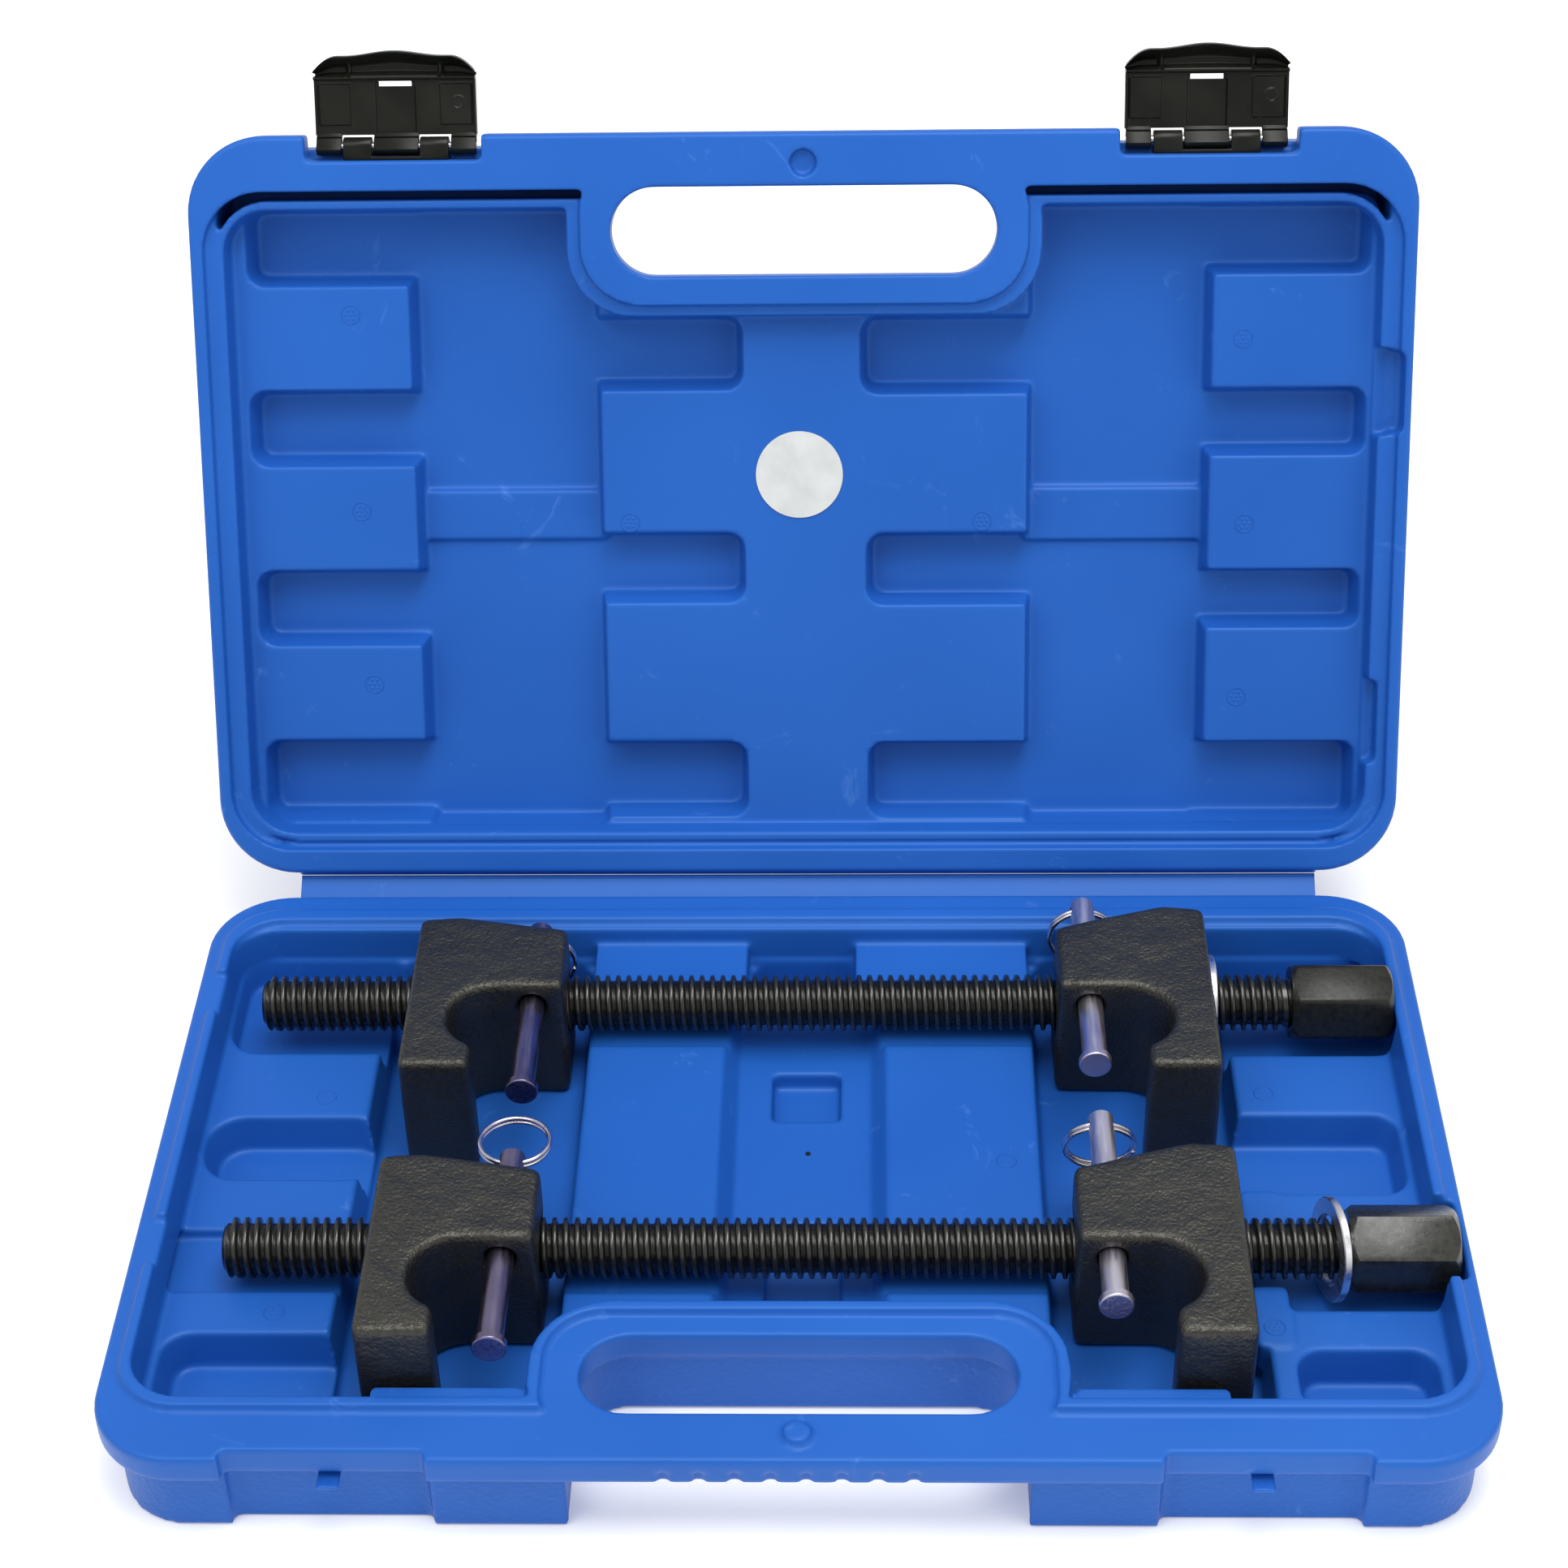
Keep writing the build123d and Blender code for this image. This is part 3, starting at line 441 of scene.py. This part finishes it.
def case_half(body):
    node_name = f"case_{body}"
    obj = cad_copy(node_name, node_name + "_moulding", drop_inner=True)
    soften(obj, CASE_VOXEL, CASE_PASSES, BLUE)
    mesh = obj.data
    centres = read_vectors(mesh.polygons, "center")
    points = read_vectors(mesh.vertices, "co")
    if body == "base":
        z = points[:, 2]
        rim = (z > HALF_H - RIM_GAP) & (z < HALF_H + 0.0002)
        points[rim, 2] = HALF_H - RIM_GAP
        boxes = BASE_GRAIN
    else:
        to_lid = LID.inverted()
        centres = transformed(centres, to_lid)
        points = transformed(points, to_lid)
        points[points[:, 2] > -RIM_GAP, 2] = -RIM_GAP
        points = transformed(points, LID)
        boxes = LID_GRAIN
    write_points(mesh, points)
    grain_faces(mesh, centres, boxes)
    register(obj, body, node_name)


def hinge_strip():
    """Thin strip with a round bead along both fold lines."""
    bead = 0.00086
    arc = []
    for k in range(15):
        angle = radians(40 + 280 * k / 14)
        arc.append((bead * cos(angle), bead * sin(angle)))
    outline = arc + [(STRIP - u, -v) for u, v in arc]
    web_x = [v.co.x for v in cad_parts["hinge_web"].data.vertices]
    verts = [Vector((x, *STRIP_START)) + STRIP_ALONG * u + STRIP_NORMAL * v
             for x in (min(web_x), max(web_x)) for u, v in outline]
    count = len(outline)
    faces = tube_faces(2, count)
    faces.append(tuple(range(count)))
    faces.append(tuple(range(2 * count - 1, count - 1, -1)))
    obj = add_mesh("hinge_strip_moulding", verts, faces, BLUE)
    tidy(obj, sharp=35)
    register(obj, "web", "hinge_web")


case_half("base")
case_half("lid")
hinge_strip()

# ------------------------------------------------------------------ spindles
PITCH = 0.0035
THREAD_DEPTH = 0.0019
CORE_R = ROD_R - THREAD_DEPTH
SPINDLE_LENGTH = 0.375
HEX_LENGTH = 0.033
CAP = 0.0008               # flat-ended cap before the thread starts
HEX_HALF = 0.012           # half across flats
HEX_CORNER_R = 0.01366     # the six long edges are trimmed to this
CHAMFER_R = 0.0118         # the end chamfers start here
# One turn of thread: fraction of the pitch, fraction of the depth.
THREAD_PROFILE = [
    (0.00, 1.0), (0.13, 1.0), (0.20, 0.93), (0.26, 0.5), (0.32, 0.08), (0.38, 0.0),
    (0.63, 0.0), (0.69, 0.08), (0.75, 0.5), (0.81, 0.93), (0.88, 1.0),
]


def rod_circle(x, y, radius, count):
    points = []
    for i in range(count):
        angle = 2 * pi * i / count
        points.append((x, y + radius * cos(angle), ROD_Z + radius * sin(angle)))
    return points


def thread(row, y, cap_x, hex_x):
    """Helical thread from the free end at -X up to the hex."""
    seg = 64
    start = cap_x + CAP
    turns = int((hex_x - start) / PITCH) + 3
    stations = [(k + p, d) for k in range(-1, turns) for p, d in THREAD_PROFILE]
    count = len(stations)
    verts = []
    for i in range(seg):
        angle = 2 * pi * i / seg
        for turn, cut in stations:
            x = min(max(start + (turn + i / seg) * PITCH, start), hex_x)
            # chamfered free end and a short run-out before the hex
            r = min(ROD_R - THREAD_DEPTH * cut, ROD_R - 0.0017 + (x - start) * 1.7)
            if x > hex_x - 0.0035:
                r = min(r, ROD_R - 0.0012)
            verts.append((x, y + r * cos(angle), ROD_Z + r * sin(angle)))
    faces = []
    for i in range(seg):
        next_i = (i + 1) % seg
        # the last column meets the first one a full turn further on
        shift = len(THREAD_PROFILE) if i == seg - 1 else 0
        for j in range(count - 1 - shift):
            a = i * count + j
            b = a + 1
            d = next_i * count + j + shift
            c = d + 1
            # skip cells pinched flat against an end
            if abs(verts[a][0] - verts[b][0]) < 1e-9 and abs(verts[c][0] - verts[d][0]) < 1e-9:
                continue
            faces.append((a, d, c, b))
    # end cap
    cap = len(verts)
    verts += rod_circle(cap_x, y, CORE_R - 0.0006, seg)
    verts += rod_circle(start, y, CORE_R, seg)
    verts.append((cap_x, y, ROD_Z))
    for i in range(seg):
        j = (i + 1) % seg
        faces.append((cap + i, cap + seg + i, cap + seg + j, cap + j))
        faces.append((cap + 2 * seg, cap + i, cap + j))
    # root core behind the thread, so pinched ends never show a gap
    core = len(verts)
    verts += rod_circle(start, y, CORE_R, seg)
    verts += rod_circle(hex_x + 0.001, y, CORE_R, seg)
    faces += [(a, d, c, b) for a, b, c, d in tube_faces(2, seg, core)]
    obj = add_mesh("thread_" + row, verts, faces, THREAD)
    register(obj, row + "_spindle", "spindle_" + row)


def hex_end(row, y, x1, x2, turn):
    """Hex end from x1 to x2 with turned chamfers; turn is its roll in degrees."""
    per_ring = 96

    def corner_ring(x, inward, inset, setback):
        """A hexagonal ring; its corners fall back along X as a turned chamfer does."""
        ring = []
        for i in range(per_ring):
            angle = 2 * pi * i / per_ring
            from_flat = (angle - radians(turn) + pi / 6) % (pi / 3) - pi / 6
            flat_r = HEX_HALF / cos(from_flat)
            fall = (flat_r - CHAMFER_R) * tan(radians(30)) * 1.6 + setback
            r = min(flat_r - inset, HEX_CORNER_R)
            ring.append((x + inward * fall, y + r * cos(angle), ROD_Z + r * sin(angle)))
        return ring

    recess_x = x2 - 0.0006  # shallow recess in the end face
    rings = [
        rod_circle(x1, y, 0.0085, per_ring),
        rod_circle(x1, y, CHAMFER_R, per_ring),
        corner_ring(x1, inward=1, inset=0.00025, setback=0.0002),
        corner_ring(x1, inward=1, inset=0.0, setback=0.0008),
        corner_ring(x2, inward=-1, inset=0.0, setback=0.0008),
        corner_ring(x2, inward=-1, inset=0.00025, setback=0.0002),
        rod_circle(x2, y, 0.0112, per_ring),
        rod_circle(recess_x, y, 0.0106, per_ring),
        rod_circle(recess_x, y, 0.0, per_ring),
    ]
    verts = [point for ring in rings for point in ring]
    obj = add_mesh("hex_" + row, verts, tube_faces(len(rings), per_ring), HEX[row])
    tidy(obj, weld=True, sharp=24)
    register(obj, row + "_spindle", "spindle_" + row)


# row, x of the free end, roll of the hex in degrees
for row, end_x, turn in (("front", -0.1755, 0.0), ("rear", -0.1805, 47.0)):
    hex_x = end_x + SPINDLE_LENGTH - HEX_LENGTH
    thread(row, ROW_Y[row], end_x, hex_x)
    hex_end(row, ROW_Y[row], hex_x, end_x + SPINDLE_LENGTH, turn)

# ------------------------------------------------------------------ forged jaws
JAW_VOXEL = 0.0007
JAW_PASSES = 44
PIN_HOLE_R = 0.0044
# kind: x of its pin hole, radius of the spindle bore
JAWS = {"threaded_jaw": (PIN_X["left"], 0.00945), "sliding_jaw": (PIN_X["right"], 0.0098)}


def clear_bore(points, axes, centre, radius):
    """Push points inside a round bore out to its wall."""
    offset = points[:, axes] - centre
    distance = np.hypot(offset[:, 0], offset[:, 1])
    inside = distance < radius
    for column, (axis, middle) in enumerate(zip(axes, centre)):
        points[inside, axis] = middle + offset[inside, column] * radius / distance[inside]


def jaw(row, kind):
    y = ROW_Y[row]
    pin_x, bore = JAWS[kind]
    node_name = f"{kind}_{row}"
    obj = cad_copy(node_name, node_name + "_forging")
    soften(obj, JAW_VOXEL, JAW_PASSES, FORGED)
    points = read_vectors(obj.data.vertices, "co")
    normals = read_vectors(obj.data.vertices, "normal")
    # slight forging unevenness, away from the bore and the faces across X
    swell = np.array([noise.noise(Vector(p) * 120.0) * 0.00016
                      + noise.noise(Vector(p) * 45.0) * 0.00025 for p in points])
    swell[np.hypot(points[:, 1] - y, points[:, 2] - ROD_Z) < 0.0115] = 0.0
    swell[np.abs(normals[:, 0]) > 0.6] = 0.0
    points += normals * swell[:, None]
    clear_bore(points, [1, 2], (y, ROD_Z), bore)
    clear_bore(points, [0, 2], (pin_x, PIN_Z), PIN_HOLE_R)
    write_points(obj.data, points)
    register(obj, f"{row}_{kind}", node_name)


for row in ROW_Y:
    for kind in JAWS:
        jaw(row, kind)

# ------------------------------------------------------------------ pins, rings, washers
PIN_LENGTH = 0.080
RING_HOLE_INSET = 0.004  # ring hole from the +Y end of the pin
RING_R = 0.0109
WIRE_R = 0.00078
# row, side: y where the pin starts, swing of its ring about X in degrees
PINS = {("front", "left"): (-0.0935, 86.0), ("front", "right"): (-0.0765, 12.0),
        ("rear", "left"): (0.015, 0.0), ("rear", "right"): (0.0275, 0.0)}


def split_ring(row, side, pin_y, swing):
    """Two flat turns of wire with a crossover."""
    steps, around = (220), 10
    hole = Vector((PIN_X[side], pin_y + PIN_LENGTH - RING_HOLE_INSET, PIN_Z))
    rotation = Matrix.Rotation(radians(swing), 4, "X")
    verts = []
    for i in range(steps + 1):
        s = i / steps
        angle = radians(100) + s * (4 * pi + 0.5)
        # level, step over, level
        offset = (-1 + 2 * smooth_step(s, 0.40, 0.54)) * WIRE_R
        centre = Vector((RING_R * sin(angle), offset, -(RING_R - 0.00035) + RING_R * cos(angle)))
        outward = Vector((sin(angle), 0, cos(angle)))
        r = WIRE_R * (0.55 if i in (0, steps) else 1.0)
        for k in range(around):
            b = 2 * pi * k / around
            point = centre + outward * cos(b) * r + Vector((0, 1, 0)) * sin(b) * r
            verts.append(hole + (rotation @ point))
    faces = tube_faces(steps + 1, around)
    faces.append(tuple(range(around)))
    faces.append(tuple(range(steps * around, steps * around + around))[::-1])
    obj = add_mesh(f"split_ring_{row}_{side}", verts, faces, RING)
    tidy(obj)
    register(obj, f"{row}_ring_{side}", f"ring_{row}_{side}")


def washer(row, x, yaw, lean, bore):
    """Turned washer on the spindle; yaw about Z and lean about Y in degrees."""
    edge, half, outer, seg = 0.00035, 0.00125, 0.016, 96
    # closed section: distance along the axis, radius
    section = [
        (-half, bore + edge), (-half, outer - edge), (-half + edge, outer),
        (half - edge, outer), (half, outer - edge), (half, bore + edge),
        (half - edge, bore), (-half + edge, bore), (-half, bore + edge),
    ]
    verts = []
    for along, r in section:
        for i in range(seg):
            angle = 2 * pi * i / seg
            verts.append((along, r * cos(angle), r * sin(angle)))
    obj = add_mesh(f"washer_{row}_turned", verts, tube_faces(len(section), seg), ZINC)
    tidy(obj, weld=True, sharp=30)
    obj.data.transform(Matrix.Translation((x, ROW_Y[row], ROD_Z - 0.0003))
                       @ Matrix.Rotation(radians(yaw), 4, "Z")
                       @ Matrix.Rotation(radians(lean), 4, "Y"))
    register(obj, row + "_washer", "washer_" + row)


for (row, side), (pin_y, swing) in PINS.items():
    set_material(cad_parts[f"pin_{row}_{side}"].data, PIN[side])
    split_ring(row, side, pin_y, swing)

washer("front", x=0.162, yaw=10.0, lean=5.0, bore=0.0107)
washer("rear", x=0.13505, yaw=0.0, lean=0.0, bore=0.0102)

# ------------------------------------------------------------------ latches
# Latch sizes are in the lid frame: x from the latch centre, t along y from the latch pin.
LATCH_X = 0.1337
LATCH_Y, LATCH_Z = 0.2485, -0.0070
LEVER_Z = LATCH_Z - 0.0012
LEVER_HALF_W = 0.0268
GRIP_T = 0.0226      # the flat plate ends and the curled grip starts
LEDGE = 0.0014
LEVER_BACK = -0.0023
# x span of each knuckle
KNUCKLES = ((-0.0265, -0.0182), (-0.0074, 0.0074), (0.0182, 0.0265))


def band(value, low_start, low_end, high_start, high_end):
    """Rises from 0 to 1, then falls back to 0."""
    return smooth_step(value, low_start, low_end) * (1 - smooth_step(value, high_start, high_end))


def grip_edge(x):
    """Arched free edge of the grip."""
    arch = 0.0016 * (0.5 + 0.5 * cos(pi * min(1.0, abs(x) / 0.0165)))
    corner = max(0.0, (abs(x) - 0.0185) / 0.0085)
    return 0.0290 + arch - 0.0052 * corner * corner


def plate_height(x, t):
    side = abs(x)
    panels = band(side, 0.0146, 0.0151, 0.0250, 0.0254) * band(t, 0.0066, 0.0071, 0.0198, 0.0203)
    channel = (1 - smooth_step(side, 0.0062, 0.0068)) * (1 - smooth_step(t, 0.0205, 0.0210))
    rims = smooth_step(side, 0.0256, 0.0260)
    # small round ejector mark on one panel
    r = hypot(x - 0.0210, t - 0.0140)
    mark = smooth_step(r, 0.0017, 0.0019) - smooth_step(r, 0.0021, 0.0023)
    ledge = smooth_step(t, 0.0212, 0.0217)
    return 0.0007 * panels - 0.0010 * channel + 0.0006 * rims + 0.00035 * mark + LEDGE * ledge


def grip_height(x, q):
    """Height at fraction q of the way up the grip."""
    side = abs(x)
    # ledge, scooped floor, rising lip
    height = LEDGE - 0.0034 * smooth_step(q, 0.0, 0.22) + 0.0052 * smooth_step(q, 0.42, 1.0) ** 1.3
    # two ribs that split off the side pockets
    rib = 1 - smooth_step(abs(side - 0.0150), 0.0003, 0.0009)
    height += rib * 0.0012 * (1 - smooth_step(q, 0.5, 0.8))
    height -= 0.0008 * smooth_step(side, 0.0158, 0.0166) * (1 - smooth_step(q, 0.4, 0.8))
    return height


def latch_lever(side, centre_x):
    """Lever seen from inside: ribbed plate, ledge, slot and curled grip."""
    step = 0.00028
    across = np.arange(-LEVER_HALF_W, LEVER_HALF_W + step / 2, step)
    plate = np.arange(0.0036, GRIP_T, step)
    grip = np.linspace(0.0, 1.0, 34)[1:]
    # grid rows of x, t, height
    rows = [[(x, t, plate_height(x, t)) for x in across] for t in plate]
    rows += [[(x, GRIP_T + (grip_edge(x) - GRIP_T) * q, grip_height(x, q)) for x in across]
             for q in grip]
    columns, row_count = len(across), len(rows)

    def lever_point(x, t, height):
        return LID @ Vector((centre_x + x, LATCH_Y + t, LEVER_Z + height))

    verts = [lever_point(*point) for row in rows for point in row]
    back = len(verts)
    for k, row in enumerate(rows):
        for x, t, height in row:
            # the back follows the scoop of the grip and is flat behind the plate
            below = LEVER_BACK
            if k >= len(plate):
                below = min(height - 0.0015, LEVER_BACK + max(0.0, height) * 0.9)
            verts.append(lever_point(x, t + (0.0 if k < row_count - 1 else 0.0003), below))

    def is_open(i, k):
        """Whether a cell lies off the grid or in the slot."""
        if not (0 <= i < columns - 1 and 0 <= k < row_count - 1):
            return True
        x = (across[i] + across[i + 1]) / 2
        return abs(x + 0.0001) < 0.0055 and 0.0190 < rows[k][0][1] < 0.0208

    faces = []
    for k in range(row_count - 1):
        for i in range(columns - 1):
            if is_open(i, k):
                continue
            a = k * columns + i
            b, c, d = a + 1, a + columns + 1, a + columns
            faces.append((a, b, c, d))
            faces.append((back + a, back + d, back + c, back + b))
            for di, dk, e0, e1 in ((0, -1, a, b), (0, 1, c, d), (-1, 0, d, a), (1, 0, b, c)):
                if is_open(i + di, k + dk):
                    faces.append((e1, e0, back + e0, back + e1))
    obj = add_mesh(f"latch_lever_{side}", verts, faces, PLASTIC)
    tidy(obj, sharp=55)
    register(obj, f"latch_{side}", f"latch_{side}")


def latch_knuckle(side, centre_x, index, x0, x1):
    """Round knuckle with a short web into the plate."""
    radius, edge = 0.0030, 0.0003
    section = []
    for k in range(28):
        angle = pi / 2 + radians(18) + (2 * pi - radians(100)) * k / 27
        section.append((radius * cos(angle), radius * sin(angle)))
    section += [(0.0042, -0.0034), (0.0042, -0.0010)]
    verts = []
    for x, scale in ((x0, 0.90), (x0 + edge, 1.0), (x1 - edge, 1.0), (x1, 0.90)):
        for t, height in section:
            verts.append(LID @ Vector((centre_x + x, LATCH_Y + t * scale,
                                       LATCH_Z + height * scale)))
    count = len(section)
    faces = tube_faces(4, count)
    faces.append(tuple(range(count)))
    faces.append(tuple(range(3 * count, 4 * count))[::-1])
    obj = add_mesh(f"latch_knuckle_{side}_{index}", verts, faces, PLASTIC)
    tidy(obj, sharp=40)
    register(obj, f"latch_{side}")


def latch_mount(side):
    node_name = f"latch_mount_{side}"
    obj = cad_copy(node_name, node_name + "_plastic")
    bevel = obj.modifiers.new("edge", "BEVEL")
    bevel.width = 0.00035
    bevel.segments = 2
    bevel.limit_method = "ANGLE"
    bevel.angle_limit = radians(35)
    apply_modifiers(obj)
    set_material(obj.data, PLASTIC)
    shade_smooth(obj.data)
    obj.data.set_sharp_from_angle(angle=radians(35))
    register(obj, "lid", node_name)


for side, centre_x in (("left", -LATCH_X), ("right", LATCH_X)):
    latch_lever(side, centre_x)
    for index, (x0, x1) in enumerate(KNUCKLES):
        latch_knuckle(side, centre_x, index, x0, x1)
    latch_mount(side)
    set_material(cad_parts[f"latch_pin_{side}"].data, ZINC)

set_material(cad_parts["blank_label"].data, LABEL)

# ------------------------------------------------------------------ moulding marks
PAD_Z = -0.0125  # lid pads, in the lid frame
# x, y in the lid frame
LID_MARKS = [
    (-0.1524, 0.1925), (-0.1514, 0.1256), (-0.1495, 0.0650), (-0.0593, 0.1212),
    (0.0609, 0.1211), (0.1482, 0.1825), (0.1501, 0.1197), (0.1489, 0.0594),
]
# x, y, z
BASE_MARKS = [
    (-0.1560, 0.0372, 0.0215), (-0.1591, -0.0578, 0.0215), (0.0654, 0.0077, 0.0215),
    (0.1501, 0.0389, 0.0215), (0.1430, -0.0640, 0.0223),
]


def round_marks(name, places, matrix, body):
    """Small round marks: a shallow ring with seven beads."""
    ring_seg, ring_r, wire, wire_seg = 28, 0.0031, 0.00024, 6
    bead_seg, bead_r, bead_circle = 10, 0.00052, 0.00165
    verts, faces = [], []
    for x, y, z in places:
        first = len(verts)
        for i in range(ring_seg):
            angle = 2 * pi * i / ring_seg
            for k in range(wire_seg):
                b = 2 * pi * k / wire_seg
                r = ring_r + wire * cos(b)
                verts.append(matrix @ Vector((x + r * cos(angle), y + r * sin(angle),
                                              z + wire * 0.8 * sin(b))))
        for i in range(ring_seg):
            near = first + i * wire_seg
            far = first + (i + 1) % ring_seg * wire_seg
            for k in range(wire_seg):
                k2 = (k + 1) % wire_seg
                faces.append((near + k, far + k, far + k2, near + k2))
        # six beads in a circle, then one in the middle
        centres = [(x + bead_circle * cos(2 * pi * q / 6), y + bead_circle * sin(2 * pi * q / 6))
                   for q in range(6)] + [(x, y)]
        for bead_x, bead_y in centres:
            first = len(verts)
            for level, scale in ((0.0, 1.0), (0.5, 0.8), (0.85, 0.4)):
                for i in range(bead_seg):
                    angle = 2 * pi * i / bead_seg
                    verts.append(matrix @ Vector((bead_x + bead_r * scale * cos(angle),
                                                  bead_y + bead_r * scale * sin(angle),
                                                  z - 0.0001 + level * 0.00035)))
            faces += tube_faces(3, bead_seg, first)
            faces.append(tuple(first + 2 * bead_seg + i for i in range(bead_seg)))
    register(add_mesh(name, verts, faces, BLUE), body)


def trough_hole_painted_shade():
    """Small dark disc in the middle trough, painted shade where a pin hole would show."""
    x, y, z, radius, seg = 0.002, 0.0185, 0.01412, 0.0009, 24
    verts = [(x + radius * cos(2 * pi * i / seg), y + radius * sin(2 * pi * i / seg), z)
             for i in range(seg)]
    obj = add_mesh("trough_hole_painted_shade", verts, [tuple(range(seg))], PLASTIC)
    register(obj, "base")


round_marks("lid_vents", [(x, y, PAD_Z) for x, y in LID_MARKS], LID, "lid")
round_marks("base_vents", BASE_MARKS, Matrix.Identity(4), "base")
trough_hole_painted_shade()


# ------------------------------------------------------------------ stage, light, camera
def add_floor():
    bpy.ops.mesh.primitive_plane_add(size=12, location=(0, 0, -0.0006))
    floor = bpy.context.object
    floor.name = "floor"
    material = bpy.data.materials.new("floor_pale")
    material.use_nodes = True
    inputs = material.node_tree.nodes["Principled BSDF"].inputs
    inputs["Base Color"].default_value = (0.90, 0.90, 0.90, 1)
    inputs["Roughness"].default_value = 0.9
    inputs["Emission Color"].default_value = (1, 1, 1, 1)
    inputs["Emission Strength"].default_value = 0.22
    floor.data.materials.append(material)


def set_world():
    world = bpy.data.worlds.new("studio")
    scene.world = world
    world.use_nodes = True
    background = world.node_tree.nodes["Background"]
    background.inputs["Color"].default_value = (1.0, 1.0, 1.0, 1)
    background.inputs["Strength"].default_value = 0.66
    scene.view_settings.view_transform = "Standard"
    scene.view_settings.look = "None"
    scene.view_settings.exposure = 0.0


def area_light(name, location, target, size, power):
    light = bpy.data.lights.new(name, "AREA")
    light.shape = "RECTANGLE"
    light.size, light.size_y = size
    light.energy = power
    obj = bpy.data.objects.new(name, light)
    scene.collection.objects.link(obj)
    obj.location = location
    obj.rotation_mode = "QUATERNION"
    obj.rotation_quaternion = (Vector(target) - Vector(location)).to_track_quat("-Z", "Y")


def add_camera(location, lens, yaw, pitch, roll):
    """Looks along +Y turned by yaw, tipped down by pitch; angles in degrees."""
    data = bpy.data.cameras.new("camera")
    camera = bpy.data.objects.new("camera", data)
    scene.collection.objects.link(camera)
    data.sensor_width = 36.0
    data.lens = lens
    yaw, pitch, roll = radians(yaw), radians(pitch), radians(roll)
    level = Vector((cos(yaw), -sin(yaw), 0))
    forward = Vector((sin(yaw) * cos(pitch), cos(yaw) * cos(pitch), -sin(pitch)))
    upright = level.cross(forward)
    right = cos(roll) * level + sin(roll) * upright
    up = -sin(roll) * level + cos(roll) * upright
    matrix = Matrix.Identity(4)
    for i in range(3):
        matrix[i][0], matrix[i][1], matrix[i][2] = right[i], up[i], -forward[i]
    matrix.translation = Vector(location)
    camera.matrix_world = matrix
    scene.camera = camera


add_floor()
set_world()
area_light("key", location=(-0.8, -0.7, 1.7), target=(0, 0.05, 0.05), size=(1.0, 1.0), power=10)
area_light("top", location=(0.25, -0.10, 1.9), target=(0, 0.0, 0.03), size=(1.3, 0.9), power=25)
area_light("fill", location=(1.3, -0.9, 0.8), target=(0, 0.05, 0.1), size=(1.0, 1.0), power=3)
add_camera(location=(0.021978, -0.708587, 0.719795), lens=71.534161,
           yaw=-1.96, pitch=37.36, roll=-1.37)
